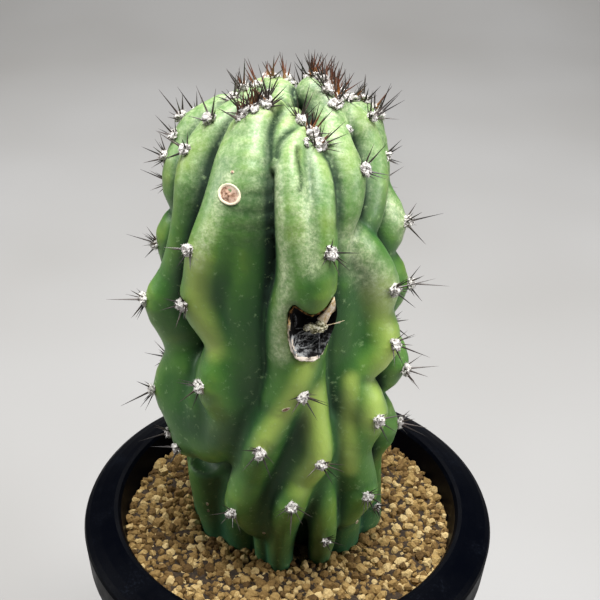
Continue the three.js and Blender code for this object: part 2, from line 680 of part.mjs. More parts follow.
// Rough outline of the plant, only to aim at the areoles.
const OUTLINE_HEIGHTS = [0, 120, 138, 145, 150, 155, 160, 165, 170];
const OUTLINE_RADII = [36, 41, 37.5, 34, 30.5, 27, 22, 15, 8];
function outlineAt(height) {
  let i = 0;
  while (i < OUTLINE_HEIGHTS.length - 2 && height > OUTLINE_HEIGHTS[i + 1]) i += 1;
  const span = OUTLINE_HEIGHTS[i + 1] - OUTLINE_HEIGHTS[i];
  const t = (height - OUTLINE_HEIGHTS[i]) / span;
  return OUTLINE_RADII[i] + t * (OUTLINE_RADII[i + 1] - OUTLINE_RADII[i]);
}

// Where an areole sits, with its outward, sideways and upward directions.
function areoleFrame(azimuth, height) {
  const angle = azimuth * toRadians;
  const normal = outward(angle, turnAt(height));
  const side = new THREE.Vector3(Math.cos(angle), Math.sin(angle), 0);
  const up = new THREE.Vector3().crossVectors(normal, side);
  const inside = axisAt(height).addScaledVector(outward(angle, 0), outlineAt(height));
  inside.addScaledVector(normal, -12);
  const place = inside.clone().addScaledVector(normal, reachOfSkin(inside, normal, 26));
  return { place, normal, side, up };
}

function woolSolid(frame, radius) {
  const ball = new THREE.IcosahedronGeometry(radius, 0);
  ball.deleteAttribute("normal");
  ball.deleteAttribute("uv");
  const shape = mergeVertices(ball, 1e-4);
  const centre = frame.place.clone().addScaledVector(frame.normal, radius * (1 - WOOL_SINK) - 0.4);
  const vertices = [];
  const position = shape.getAttribute("position");
  for (let i = 0; i < position.count; i += 1) {
    vertices.push(
      position.getX(i) + centre.x,
      position.getY(i) + centre.y,
      position.getZ(i) + centre.z,
    );
  }
  return solidFrom(vertices, [...shape.index.array]);
}

// A three-sided spine, its root sunk into the wool and the skin.
function spineSolid(frame, sideways, upwards, length) {
  const direction = frame.normal.clone();
  direction.addScaledVector(frame.side, sideways).addScaledVector(frame.up, upwards).normalize();
  const root = frame.place.clone().addScaledVector(frame.normal, 0.6);
  root.addScaledVector(direction, -SPINE_ROOT);
  const tip = frame.place.clone().addScaledVector(frame.normal, 0.6);
  tip.addScaledVector(direction, length);
  const across = new THREE.Vector3().crossVectors(direction, frame.side);
  if (across.length() < 0.3) across.crossVectors(direction, frame.up);
  across.normalize();
  const other = new THREE.Vector3().crossVectors(direction, across);
  const vertices = [];
  for (let i = 0; i < 3; i += 1) {
    const angle = (i * 2 * Math.PI) / 3;
    const p = root.clone();
    p.addScaledVector(across, Math.cos(angle) * SPINE_RADIUS);
    p.addScaledVector(other, Math.sin(angle) * SPINE_RADIUS);
    vertices.push(p.x, p.y, p.z);
  }
  vertices.push(tip.x, tip.y, tip.z);
  return solidFrom(vertices, [0, 2, 1, 0, 1, 3, 1, 2, 3, 2, 0, 3]);
}

function cactusSolid() {
  let plant = bodySolid();
  for (const [azimuth, height, wool, spines] of AREOLES) {
    const frame = areoleFrame(azimuth, height);
    let tuft = woolSolid(frame, wool);
    for (const [sideways, upwards, length] of spines) {
      tuft = tuft.add(spineSolid(frame, sideways, upwards, length));
    }
    plant = plant.add(tuft);
  }
  return plant;
}

// The soil fills the pot. Its hole follows the foot of the plant and has a flat floor.
function soilSolid() {
  const random = randomFrom(7);
  const floor = BASE_THICKNESS + CLEARANCE - SOIL_LEVEL;
  const circle = (radius, height) =>
    angles.map((angle) => outward(angle, 0).multiplyScalar(radius).setZ(height));
  const edge = circle(SOIL_RADIUS, 0);
  const mouth = footRing(CLEARANCE, -0.3);
  const rings = [circle(BASE_RADIUS - WALL - CLEARANCE, floor), edge];
  for (let k = 1; k < SOIL_RINGS; k += 1) {
    const t = k / SOIL_RINGS;
    rings.push(
      edge.map((p, i) => {
        const raised = (i + k) % 2 === 0 ? 0.55 + 0.45 * random() : 0.35 * random();
        return p.clone().lerp(mouth[i], t).setZ(raised * GRAIN_RELIEF);
      }),
    );
  }
  rings.push(mouth);
  const bottom = axisAt(0).setZ(-STUMP_DEPTH);
  rings.push(footRing(CLEARANCE, -STUMP_DEPTH));
  return ringSolid(rings, new THREE.Vector3(0, 0, floor), bottom);
}

// The pot turns about Z, from the middle of its base round the rim to the middle of its floor.
function potSolid() {
  const rimEdge = POT_HEIGHT - RIM_DROP;
  const inner = SOIL_RADIUS + CLEARANCE;
  const profile = [
    [BASE_RADIUS - 1.2, 0],
    [BASE_RADIUS, 1.4],
    [LIP_RADIUS - 1.9, rimEdge - SKIRT_DEPTH],
    [LIP_RADIUS - 1.2, rimEdge - 3.2],
    [RIM_RADIUS - SKIRT_WALL - 1.5, rimEdge - 3.6],
    [RIM_RADIUS - SKIRT_WALL - 0.4, rimEdge - 4.6],
    [RIM_RADIUS - SKIRT_WALL - 0.9, rimEdge - SKIRT_DEPTH],
    [RIM_RADIUS - 0.9, rimEdge - SKIRT_DEPTH],
    [RIM_RADIUS - 0.1, rimEdge - 2.2],
    [RIM_RADIUS, rimEdge - 0.8],
    [RIM_RADIUS - 0.5, rimEdge + 0.5],
    [RIM_RADIUS - 2.1, rimEdge + 1.9],
    [RIM_RADIUS - 5.2, rimEdge + 3.5],
    [RIM_RADIUS - 8.8, rimEdge + 5],
    [LIP_RADIUS + 1.4, POT_HEIGHT],
    [LIP_RADIUS, POT_HEIGHT - 0.4],
    [LIP_RADIUS - 1, POT_HEIGHT - 1.6],
    [inner, SOIL_LEVEL],
    [BASE_RADIUS - WALL, BASE_THICKNESS],
  ];
  const rings = profile.map(([radius, z]) => circlePoints(POT_SEGMENTS, 0, 0, radius, z));
  const origin = new THREE.Vector3(0, 0, 0);
  let pot = ringSolid(rings, origin, new THREE.Vector3(0, 0, BASE_THICKNESS));
  for (let i = 0; i < DRAIN_HOLES; i += 1) {
    const angle = (i * 2 * Math.PI) / DRAIN_HOLES;
    const x = Math.sin(angle) * DRAIN_CIRCLE;
    const y = -Math.cos(angle) * DRAIN_CIRCLE;
    const hole = ringSolid(
      [
        circlePoints(16, x, y, DRAIN_RADIUS, -1),
        circlePoints(16, x, y, DRAIN_RADIUS, BASE_THICKNESS + 1),
      ],
      new THREE.Vector3(x, y, -1),
      new THREE.Vector3(x, y, BASE_THICKNESS + 1),
    );
    pot = pot.subtract(hole);
  }
  return pot;
}

function circlePoints(count, x, y, radius, z) {
  const points = [];
  for (let i = 0; i < count; i += 1) {
    const angle = (i * 2 * Math.PI) / count;
    points.push(new THREE.Vector3(x + Math.sin(angle) * radius, y - Math.cos(angle) * radius, z));
  }
  return points;
}

function meshOf(solid, name, material, lift) {
  const mesh = solid.getMesh();
  const geometry = new THREE.BufferGeometry();
  const positions = new Float32Array(mesh.numVert * 3);
  for (let i = 0; i < mesh.numVert; i += 1) {
    for (let k = 0; k < 3; k += 1) {
      positions[i * 3 + k] = mesh.vertProperties[i * mesh.numProp + k];
    }
    positions[i * 3 + 2] += lift;
  }
  geometry.setAttribute("position", new THREE.BufferAttribute(positions, 3));
  geometry.setIndex([...mesh.triVerts]);
  geometry.computeVertexNormals();
  const piece = new THREE.Mesh(geometry, material);
  piece.name = name;
  return piece;
}

const potPlastic = new THREE.MeshStandardMaterial({
  color: "#15171f",
  roughness: 0.42,
  metalness: 0,
});
const gravel = new THREE.MeshStandardMaterial({ color: "#b89868", roughness: 0.92, metalness: 0 });
const skin = new THREE.MeshStandardMaterial({ color: "#5f9440", roughness: 0.5, metalness: 0 });

const part = new THREE.Group();
part.name = "potted_monstrose_cereus";
part.add(meshOf(potSolid(), "pot", potPlastic, 0));
part.add(meshOf(soilSolid(), "soil", gravel, SOIL_LEVEL));
part.add(meshOf(cactusSolid(), "cactus", skin, SOIL_LEVEL));

export default part;
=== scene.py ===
import math

import bmesh
import bpy
import numpy as np
from mathutils import Matrix, Vector, noise
from mathutils.bvhtree import BVHTree


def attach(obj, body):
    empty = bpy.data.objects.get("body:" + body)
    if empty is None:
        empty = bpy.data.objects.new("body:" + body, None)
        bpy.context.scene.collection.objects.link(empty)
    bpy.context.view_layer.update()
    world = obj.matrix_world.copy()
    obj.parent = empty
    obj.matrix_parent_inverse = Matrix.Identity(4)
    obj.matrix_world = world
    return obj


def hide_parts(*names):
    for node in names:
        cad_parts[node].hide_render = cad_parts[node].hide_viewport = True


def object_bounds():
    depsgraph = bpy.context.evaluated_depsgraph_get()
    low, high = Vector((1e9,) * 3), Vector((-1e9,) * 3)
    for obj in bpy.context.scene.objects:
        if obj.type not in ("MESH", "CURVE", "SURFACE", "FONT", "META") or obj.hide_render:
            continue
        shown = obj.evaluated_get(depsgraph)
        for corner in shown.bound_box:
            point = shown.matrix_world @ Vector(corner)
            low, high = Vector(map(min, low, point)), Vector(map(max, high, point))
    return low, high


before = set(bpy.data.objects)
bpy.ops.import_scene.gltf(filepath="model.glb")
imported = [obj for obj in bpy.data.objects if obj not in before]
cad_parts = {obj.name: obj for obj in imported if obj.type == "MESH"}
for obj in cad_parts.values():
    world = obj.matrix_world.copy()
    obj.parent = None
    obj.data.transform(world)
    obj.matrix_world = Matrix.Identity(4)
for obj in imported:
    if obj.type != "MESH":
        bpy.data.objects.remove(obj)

# A monstrose cereus in a plastic nursery pot. Sizes are in millimetres here and
# turned to metres when a mesh is made. Heights of the plant are above the soil.
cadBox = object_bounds()
metres = 0.001
soilLevel = 118.8
scene = bpy.context.scene


def linear(code):  # an sRGB hex colour as linear numbers
    parts = [int(code[i:i + 2], 16) / 255 for i in (1, 3, 5)]
    return tuple(c / 12.92 if c <= 0.04045 else ((c + 0.055) / 1.055) ** 2.4 for c in parts) + (1.0,)


def link(source, target):  # a node stands for its first live output
    if isinstance(source, bpy.types.Node):
        source = next(socket for socket in source.outputs if socket.enabled)
    target.id_data.links.new(source, target)


def addNode(tree, kind, inputs=None, stops=(), **settings):  # an input is a value, node, socket or list
    node = tree.nodes.new(kind)
    for name, value in settings.items():
        setattr(node, name, value)
    for key, value in (inputs or {}).items():
        for part in value if isinstance(value, list) else [value]:
            if isinstance(part, (bpy.types.Node, bpy.types.NodeSocket)):
                link(part, node.inputs[key])
            else:
                node.inputs[key].default_value = part
    if stops:
        for extra in stops[2:]:
            node.color_ramp.elements.new(1.0)
        for element, (place, shade) in zip(node.color_ramp.elements, stops):
            element.position = place
            element.color = linear(shade)
    return node


def startMaterial(name, **sockets):
    material = bpy.data.materials.new(name)
    material.use_nodes = True
    tree = material.node_tree
    shader = tree.nodes["Principled BSDF"]
    for key, value in sockets.items():
        shader.inputs[key.replace("_", " ")].default_value = value
    return material, tree, shader, addNode(tree, "ShaderNodeTexCoord").outputs["Object"]


def finishMaterial(shader, colour, *reliefs):  # a relief is its strength, its depth in mm and its height
    link(colour, shader.inputs["Base Color"])
    below = {}
    for strength, depth, height in reliefs:
        below["Normal"] = addNode(shader.id_data, "ShaderNodeBump", {
            "Strength": strength, "Distance": depth * metres, "Height": height, **below})
    for bump in below.values():
        link(bump, shader.inputs["Normal"])


def newPiece(name, vertices, faces, material, attributes=None):
    mesh = bpy.data.meshes.new(name)
    mesh.from_pydata((np.asarray(vertices) * metres).tolist(), [], faces)
    for key, values in (attributes or {}).items():
        kind, field = ("FLOAT_VECTOR", "vector") if np.ndim(values) == 2 else ("FLOAT", "value")
        layer = mesh.attributes.new(key, kind, "POINT")
        layer.data.foreach_set(field, np.ravel(values).astype(np.float32))
    mesh.validate()
    if faces:
        mesh.shade_smooth()
    piece = bpy.data.objects.new(name, mesh)
    scene.collection.objects.link(piece)
    if material:
        mesh.materials.append(material)
    return piece


def growPiece(name, source, build, inputs):  # grows a piece by a tree of nodes and keeps it as a plain mesh
    tree = bpy.data.node_groups.new(name + "Tree", "GeometryNodeTree")
    for way in ("INPUT", "OUTPUT"):
        tree.interface.new_socket("Geometry", in_out=way, socket_type="NodeSocketGeometry")
    for label, value in inputs.items():
        kind = {int: "NodeSocketInt", float: "NodeSocketFloat"}.get(type(value), "NodeSocketMaterial")
        tree.interface.new_socket(label, in_out="INPUT", socket_type=kind)
    given = addNode(tree, "NodeGroupInput").outputs
    shape = addNode(tree, "GeometryNodeRealizeInstances", {"Geometry": build(tree, given)})
    shape = addNode(tree, "GeometryNodeSetMaterial", {"Geometry": shape, "Material": given["Material"]})
    addNode(tree, "NodeGroupOutput", {"Geometry": shape})

    grower = source.modifiers.new(tree.name, "NODES")
    grower.node_group = tree
    for item in tree.interface.items_tree:
        if item.in_out == "INPUT" and item.name in inputs:
            grower[item.identifier] = inputs[item.name]
    graph = bpy.context.evaluated_depsgraph_get()
    grown = source.evaluated_get(graph)
    mesh = bpy.data.meshes.new_from_object(grown, preserve_all_data_layers=True, depsgraph=graph)
    source.modifiers.remove(grower)
    bpy.data.objects.remove(source)
    mesh.name = name
    piece = bpy.data.objects.new(name, mesh)
    scene.collection.objects.link(piece)
    print(name, len(mesh.polygons), "faces")
    return piece


# The form of the plant. A rib is a bundle of strands, joined to the plant by a blend in mm. Each
# row of a strand is azimuth in degrees (0 is the front, positive to the right), height, radius of
# the crest from the leaning axis, radius of the crest and radius of the flesh under it.
ribs = {
    "farLeft": (1.2, [
        [(-118, 161, 20, 6, 7), (-101, 156, 28, 6, 7), (-95, 150, 31, 6.5, 7), (-86, 145, 33.5, 7, 8),
         (-84, 137, 35, 7, 8), (-84, 127, 33, 7, 8), (-86, 118, 39, 6.5, 8), (-88, 104, 38, 8, 9),
         (-94, 92, 41.5, 8, 9), (-96, 70, 41, 8, 9), (-95, 40, 38, 8, 10), (-94, 15, 37, 8, 10),
         (-92, 0, 36, 8, 10)],
    ]),
    "left": (1.2, [
        [(-60, 76, 39.5, 8, 9), (-60, 62, 43.5, 8.5, 9), (-57, 52, 43, 8.5, 9)],
        [(-95, 162.5, 13, 5.5, 6), (-78, 158.5, 20.5, 5.6, 6), (-70, 151, 28, 5.7, 6), (-63, 143, 32.3, 5.8, 6),
         (-61, 134, 34.3, 5.8, 6), (-62, 121, 37.3, 6, 6.3), (-67, 109, 40.5, 6.2, 7), (-70, 99, 45.5, 6.5, 7),
         (-70, 87, 41.5, 7.5, 9), (-67, 79, 41, 7.5, 9), (-69, 66, 46, 7, 9), (-62, 55, 43, 8, 9),
         (-60, 48, 42.5, 7, 8)],
        [(-47, 70, 37.5, 9, 9), (-51, 61, 41, 9, 9), (-53, 53, 41.5, 9, 9)],
        [(-60, 44, 36, 8, 9), (-66, 30, 37.3, 8, 9), (-68, 15, 36, 8, 9), (-68, 0, 33.5, 8, 9)],
        [(-42, 30, 29.5, 8, 9), (-42, 18, 31, 8, 9), (-44, 4, 30, 8, 9)],
    ]),
    "bigLeft": (0.9, [
        [(10, 166, 7.9, 3.2, 4), (-14, 165.7, 9.5, 4.8, 5.5), (-29, 164, 13, 5.8, 6.5), (-33, 159, 18, 6.5, 7),
         (-30, 154, 24.5, 7, 7), (-29, 146, 31, 7, 7), (-30, 138, 36, 7, 7), (-34, 127, 40.5, 7, 7),
         (-37.5, 116, 41.3, 7, 7), (-39, 108, 42.2, 7, 7), (-31, 98, 39.5, 7.5, 7), (-28, 92, 40, 7.5, 7),
         (-31, 81, 44, 7, 10), (-28, 70, 41.5, 8, 10), (-34, 58, 41, 9, 10), (-46, 52, 41, 9, 10)],
        [(8, 165.6, 8, 3.1, 3.6), (-9.7, 164.1, 11.2, 4.4, 5), (-16, 161, 17.1, 5.5, 6.5),
         (-14.5, 156, 24.3, 7, 8), (-14.5, 149.5, 30, 8, 9), (-16, 140, 33.5, 9.5, 10),
         (-18, 130, 35, 10.5, 10), (-19, 115, 37, 10.5, 10), (-19, 100, 38, 10.5, 10), (-18, 85, 38, 10.5, 10),
         (-21, 68, 37.5, 10.5, 10), (-26, 56, 37, 9, 9)],
        [(-46, 78, 36.5, 8, 9), (-49, 67, 40.5, 9, 9), (-50, 55, 41.5, 9, 9)],
    ]),
    "tucked": (0.6, [
        [(43.4, 164.1, 11.3, 2.6, 2.34), (30.4, 163.7, 12.1, 4.3, 3.87), (18.7, 161.7, 16, 4.5, 4.05),
         (10.6, 158.2, 20.8, 3.5, 3.15), (6, 154.6, 24.9, 2.2, 1.98)],
    ]),
    "crown": (0.8, [
        [(172, 165, 17, 4.3, 4.8), (160, 166, 11, 4.4, 5), (130, 165.5, 5.5, 4.2, 5)],
    ]),
    "underFront": (2, [
        [(2, 84, 37, 7, 9), (-6, 62, 35, 7, 9), (-12, 40, 34, 7, 9)],
    ]),
    "front": (0.7, [
        [(34, 160.8, 19.5, 2.7, 2.8), (27.5, 160.6, 20.3, 3.2, 3.2), (20.5, 159, 22.9, 3.6, 3.6),
         (15.5, 156.5, 27.3, 4, 4), (13.5, 152.9, 31.5, 4.3, 4.3), (13, 147.8, 35.6, 4.8, 5),
         (13, 141.5, 39.2, 5.4, 5.6), (13.5, 127, 43, 6.2, 6.5), (12, 118, 44, 6.5, 7), (8, 109, 41.5, 7, 7),
         (6, 100, 41, 7, 7), (6, 90, 41.5, 7, 7), (2, 80, 41, 7, 7)],
    ]),
    "frontRightHalf": (1, [
        [(33, 157, 24.8, 3.4, 3.4), (31.5, 154.2, 28.8, 4.5, 4.4), (28.2, 149.5, 33.8, 5.1, 5),
         (25.2, 144.3, 38.1, 5.3, 5.4), (23.2, 138.2, 40.5, 5.6, 6), (20.5, 128, 43.5, 6.4, 6.8),
         (19, 119.5, 45, 6.2, 6.8), (19.5, 112, 43, 5.4, 6), (18, 105, 41.6, 5, 5.8), (14, 97, 41.3, 5, 5.8),
         (10, 90, 41.8, 4.8, 5.4)],
    ]),
    "leftLeg": (3, [
        [(15, 74, 38, 6, 8), (7, 62, 38.5, 6, 8), (0, 51, 37, 6, 8), (-5, 42, 34, 6, 7)],
        [(-14, 56, 37, 6, 7), (-15.7, 47.3, 39, 6.7, 7.4), (-17.4, 37.4, 38.5, 7.3, 8),
         (-19.7, 26.7, 36.3, 7, 7.7), (-22, 18, 33, 5.6, 6.1)],
        [(16, 97, 40, 6, 7), (10, 87, 43, 6, 7), (1, 75, 43, 6, 7), (-7, 63, 45, 5.5, 7), (-15, 47, 41, 5.5, 7),
         (-23, 33, 42, 5, 7), (-20, 22, 36, 5, 7)],
    ]),
    "frontLeg": (3.5, [
        [(12.9, 65, 38.5, 5.5, 6), (12.5, 57, 39.2, 6.3, 7), (6.8, 46, 39, 7, 7.5), (0.7, 34, 35.5, 6.7, 7)],
        [(17.5, 88, 38, 4.5, 5), (17, 73, 42, 4.5, 5), (17, 58, 45, 4.5, 5.5), (10, 47, 42, 5, 5.5),
         (4, 38, 44, 5, 5.5), (-1, 24, 38, 5.3, 5.5), (-4, 12, 35, 4.6, 4.4), (-5.5, 1, 32.5, 3.9, 3.8),
         (-6, -6, 30.5, 3.4, 3.4)],
    ]),
    "rightToe": (3.5, [
        [(20, 60, 38, 7, 8), (16.5, 50, 36.5, 6.5, 8), (14, 41, 33.5, 6, 7)],
        [(29, 66, 37, 7, 9), (29.5, 50, 36.8, 7, 9), (30, 37, 34, 6, 8)],
        [(22.5, 57, 38.4, 5, 6.5), (22, 45, 38.4, 5, 6), (22.5, 30, 39.5, 4.8, 5), (23, 17, 38, 4.1, 4.1),
         (24.5, 5, 32.4, 3.5, 3.5), (25.5, -5, 29.4, 3.2, 3.2)],
    ]),
    "leftToe": (1, [
        [(-15.5, 27, 33, 3.6, 4.5), (-17, 13, 31, 3.2, 3.8), (-18.5, -1, 29, 3, 3.4)],
    ]),
    "bigRight": (0.8, [
        [(112, 169.5, 14, 4.5, 4.5), (100, 168, 17.5, 5.5, 5.5), (88, 164.8, 19.8, 6.2, 6.2),
         (68, 161, 22.3, 6.4, 6.4), (56, 157.2, 27.4, 6.5, 6.5), (52, 152, 32.4, 6.8, 6.8),
         (48, 146.5, 34.8, 6.6, 6.6), (43, 140.5, 36, 6.2, 6.2), (38, 133.5, 35.5, 6, 6), (37, 127, 36, 8, 8),
         (34, 114, 34, 8, 8)],
    ]),
    "lowerRight": (1.2, [
        [(39, 52, 38, 7, 8), (41, 44.3, 37.7, 6.9, 7.6), (40, 36, 36, 6.5, 7), (36, 30, 34.5, 5.3, 5.9)],
        [(48, 129.5, 35.5, 6, 8), (53, 124, 39.5, 7, 9), (62, 111, 43, 7, 10), (62, 100, 41, 8, 10),
         (60, 90, 44.5, 7, 10), (50, 84, 41, 8, 10), (42, 79, 40, 8, 10), (48, 67, 45, 7, 9),
         (41, 54, 42, 7, 9), (45, 38, 42, 7, 9), (45, 34, 43, 6.5, 8), (40, 24, 38, 7, 8)],
        [(40, 115, 36, 10, 10), (40, 100, 36, 11, 10), (37, 85, 36, 10, 10), (36, 65, 37, 8, 9),
         (36, 45, 36, 8, 9)],
        [(44, 28, 35, 8, 8), (47, 15, 33.5, 8, 8), (52, 0, 30.5, 8, 8)],
    ]),
    "right": (0.8, [
        [(112, 165, 17, 5, 5), (94, 162.5, 26, 5.5, 5.5), (94, 157, 31, 6, 6), (87, 149, 34.5, 6.4, 6.4),
         (77, 141, 36, 6.4, 6.4), (65, 133, 36.2, 6.2, 6.4), (54, 125, 35, 6, 6.5)],
    ]),
    "farRight": (1.2, [
        [(135, 160, 22, 6, 8), (116, 158, 34, 6, 8), (104, 147, 36.5, 8, 9), (97, 135, 37, 8, 9),
         (90, 124, 42, 7, 9), (85, 114, 38, 8, 9), (88, 102, 43, 7, 9), (82, 89, 36.5, 8, 9),
         (77, 76, 44, 7, 8), (74, 64, 35.5, 7, 8), (72, 51, 41.5, 7, 8), (74, 38, 36, 7, 8), (77, 25, 35, 8, 9),
         (79, 5, 35, 8, 9)],
    ]),
    "backLeft": (1.6, [
        [(-150, 163, 16, 6, 7), (-142, 158, 24, 7, 8), (-128, 150, 33, 8, 9), (-122, 138, 36.5, 8, 9),
         (-119, 126, 42, 7.5, 9), (-121, 113, 38.5, 8, 9), (-123, 99, 44, 7.5, 9), (-120, 84, 39.5, 8, 9),
         (-118, 70, 44, 7.5, 9), (-121, 54, 39, 8, 9), (-124, 42, 41.5, 8, 9), (-120, 22, 37, 8, 10),
         (-118, 0, 35, 8, 10)],
    ]),
    "backRight": (1.6, [
        [(150, 161, 20, 7, 8), (138, 149, 33, 8, 9), (131, 136, 37, 8, 9), (128, 125, 42.5, 7.5, 9),
         (132, 111, 38, 8, 9), (136, 98, 44, 7.5, 9), (133, 84, 39, 8, 9), (130, 71, 44.5, 7.5, 9),
         (133, 56, 39, 8, 9), (129, 43, 42.5, 8, 9), (127, 22, 39, 8, 10), (125, 0, 38, 8, 10)],
    ]),
    "backMiddleRight": (1.6, [
        [(178, 164, 18, 7, 8), (171, 151, 33, 8, 9), (166, 138, 37.5, 8, 9), (165, 121, 43, 7.5, 9),
         (169, 107, 38.5, 8, 9), (173, 93, 44.5, 7.5, 9), (171, 79, 39.5, 8, 9), (168, 65, 44, 7.5, 9),
         (171, 50, 39, 8, 9), (173, 36, 41, 8, 9), (171, 16, 36, 8, 10), (170, 0, 34, 8, 10)],
    ]),
    "backMiddleLeft": (1.6, [
        [(-172, 163, 22, 7, 8), (-162, 149, 33.5, 8, 9), (-156, 136, 38, 8, 9), (-154, 118, 43, 7.5, 9),
         (-157, 104, 38.5, 8, 9), (-160, 91, 44, 7.5, 9), (-157, 76, 39, 8, 9), (-153, 62, 44, 7.5, 9),
         (-156, 48, 39, 8, 9), (-159, 34, 40.5, 8, 9), (-158, 15, 36, 8, 10), (-158, 0, 34, 8, 10)],
    ]),
}
grooves = {  # azimuth, height, radius and radius of the cut
    "underHip": (2.5, [(-74, 37, 33.5, 3.5), (-62, 37.5, 33.5, 4.5), (-48, 38.5, 33, 4.8), (-36, 37.5, 32, 4),
                       (-29, 35, 31, 3)]),
}
form = {
    "core": [(180, -8, 3.5, 21), (180, 18, 2.5, 24), (0, 60, 0, 27), (0, 100, 0, 27), (0, 125, 0, 25),
             (0, 137, 0, 22)],
    "axis": (0.5, 4.0),        # where the axis leaves the soil
    "lean": -0.057,            # sideways, for each millimetre up
    "rise": ([120, 138, 145, 150, 155, 160, 165, 169], [0, 15, 25, 35, 45, 57, 72, 85]),   # height, degrees
    "reach": 9.0,              # no distance is counted beyond this
    "strandBlend": 3.0,
    "fleshDepth": 0.62,        # of the flesh's radius, from the crest's middle
    "step": 5.0,               # along a strand
    "low": (-60.0, -50.0), "high": (56.0, 58.0, 180.0),   # corners of the grid of the skin
    "cell": 1.0, "coarse": 4,  # the grid, and how many cells the first search takes at once
    "stump": -6.0,             # the skin goes on this far under the soil
}


def placeOn(azimuth, height, radius):
    turn = math.radians(azimuth)
    x, y = form["axis"]
    return np.array([x + form["lean"] * height + radius * math.sin(turn), y - radius * math.cos(turn), height])


def outward(azimuth, height):  # the way a crest faces, more and more upwards at the crown
    turn = math.radians(azimuth)
    rise = math.radians(np.interp(height, *form["rise"]))
    return np.array([math.sin(turn) * math.cos(rise), -math.cos(turn) * math.cos(rise), math.sin(rise)])


def smoothPath(points, step):  # a smooth curve through points whose fourth number is a radius
    points = np.asarray(points, float)
    ends = np.vstack([2 * points[0] - points[1], points, 2 * points[-1] - points[-2]])
    path = []
    for a, b, c, d in zip(ends, ends[1:], ends[2:], ends[3:]):
        count = max(1, math.ceil(np.linalg.norm((c - b)[:3]) / step))
        for t in np.arange(count) / count:
            path.append(0.5 * (
                2 * b + (c - a) * t + (2 * a - 5 * b + 4 * c - d) * t * t + (3 * b - a - 3 * c + d) * t ** 3))
    path.append(ends[-2])
    return np.array(path)


def placedPath(rows, step):  # the same from azimuth, height, radius and the path's own radius
    return smoothPath([[*placeOn(*row[:3]), row[3]] for row in rows], step)


def strandPaths(rows):
    inner, outer = [], []
    for azimuth, height, radius, crest, flesh in rows:
        place, away = placeOn(azimuth, height, radius), outward(azimuth, height)
        outer.append([*(place - away * crest), crest])
        inner.append([*(place - away * (crest + form["fleshDepth"] * flesh)), flesh])
    return smoothPath(inner, form["step"]), smoothPath(outer, form["step"])


def tubeDistance(points, path):
    low = (path[:, :3] - path[:, 3:]).min(0) - form["reach"]
    high = (path[:, :3] + path[:, 3:]).max(0) + form["reach"]
    near = np.flatnonzero(np.all((points > low) & (points < high), axis=1))
    result = np.full(len(points), form["reach"])
    if not len(near):
        return result
    own = points[near]
    best = np.full(len(near), form["reach"])
    for a, b in zip(path, path[1:]):
        along = b[:3] - a[:3]
        share = np.clip((own - a[:3]) @ along / max(along @ along, 1e-9), 0, 1)
        gap = own - a[:3] - share[:, None] * along
        best = np.minimum(best, np.sqrt(np.einsum("ij,ij->i", gap, gap)) - a[3] - share * (b[3] - a[3]))
    result[near] = best
    return result


def smoothMin(a, b, blend):
    share = np.clip(0.5 + 0.5 * (b - a) / blend, 0, 1)
    return b * (1 - share) + a * share - blend * share * (1 - share)


corePath = placedPath(form["core"], form["step"])
ribPaths = [(blend, [strandPaths(rows) for rows in strands]) for blend, strands in ribs.values()]
groovePaths = [(blend, placedPath(rows, 3.0)) for blend, rows in grooves.values()]

wound = {  # a dry hole in the front lobe, open at its right side
    "azimuth": 14.3, "height": 106.4, "radius": 41.7, "floor": -4.2,
    "reach": 19,               # nothing further from its centre is opened
    "edge": ([3.0, 6.5], [0.6, 2.6]),   # how round its edge is, from these mm above the centre
    "outline": [  # sideways and upwards from its centre, seen from outside
        (-4.7, 10.3), (-5.2, 9.1), (-5.8, 6.5), (-6.0, 4.1), (-5.9, 0.5), (-5.3, -2.5), (-4.6, -5.9),
        (-3.6, -8.4), (-1.7, -9.3), (0.8, -9.4), (3.0, -9.6), (4.2, -8.4), (5.4, -6.4), (6.4, -3.6),
        (7.2, -1.0), (8.0, 1.5), (8.6, 4.5), (8.6, 8.0), (7.4, 11.3), (6.4, 10.3), (5.5, 9.2), (4.2, 7.9),
        (2.5, 6.7), (1.0, 5.8), (-0.6, 6.4), (-2.9, 8.6)],
}


def frameAt(azimuth, height):  # the ways outwards, sideways and upwards
    turn = math.radians(azimuth)
    normal = outward(azimuth, height)
    side = np.array([math.cos(turn), math.sin(turn), 0.0])
    return normal, side, np.cross(normal, side)


def outlineDistance(u, v, corners):  # negative inside the outline
    best, inside = np.full(len(u), 1e9), np.zeros(len(u), bool)
    for (ax, ay), (bx, by) in zip(corners, corners[1:] + corners[:1]):
        along = (u - ax) * (bx - ax) + (v - ay) * (by - ay)
        share = np.clip(along / ((bx - ax) ** 2 + (by - ay) ** 2), 0, 1)
        best = np.minimum(best, np.hypot(u - ax - share * (bx - ax), v - ay - share * (by - ay)))
        if ay != by:
            inside ^= ((ay > v) != (by > v)) & (u < ax + (v - ay) / (by - ay) * (bx - ax))
    return np.where(inside, -best, best)


def openWound(points, field):  # takes the hole out of the plant, with a rounded edge above it
    normal, side, up = frameAt(wound["azimuth"], wound["height"])
    own = points - placeOn(wound["azimuth"], wound["height"], wound["radius"])
    near = np.flatnonzero(np.einsum("ij,ij->i", own, own) < wound["reach"] ** 2)
    own = own[near]
    hole = outlineDistance(own @ side, own @ up, wound["outline"])
    hole = np.maximum(hole, wound["floor"] - own @ normal)
    opened = np.array(field)
    opened[near] = -smoothMin(-field[near], hole, np.interp(own @ up, *wound["edge"]))
    return opened


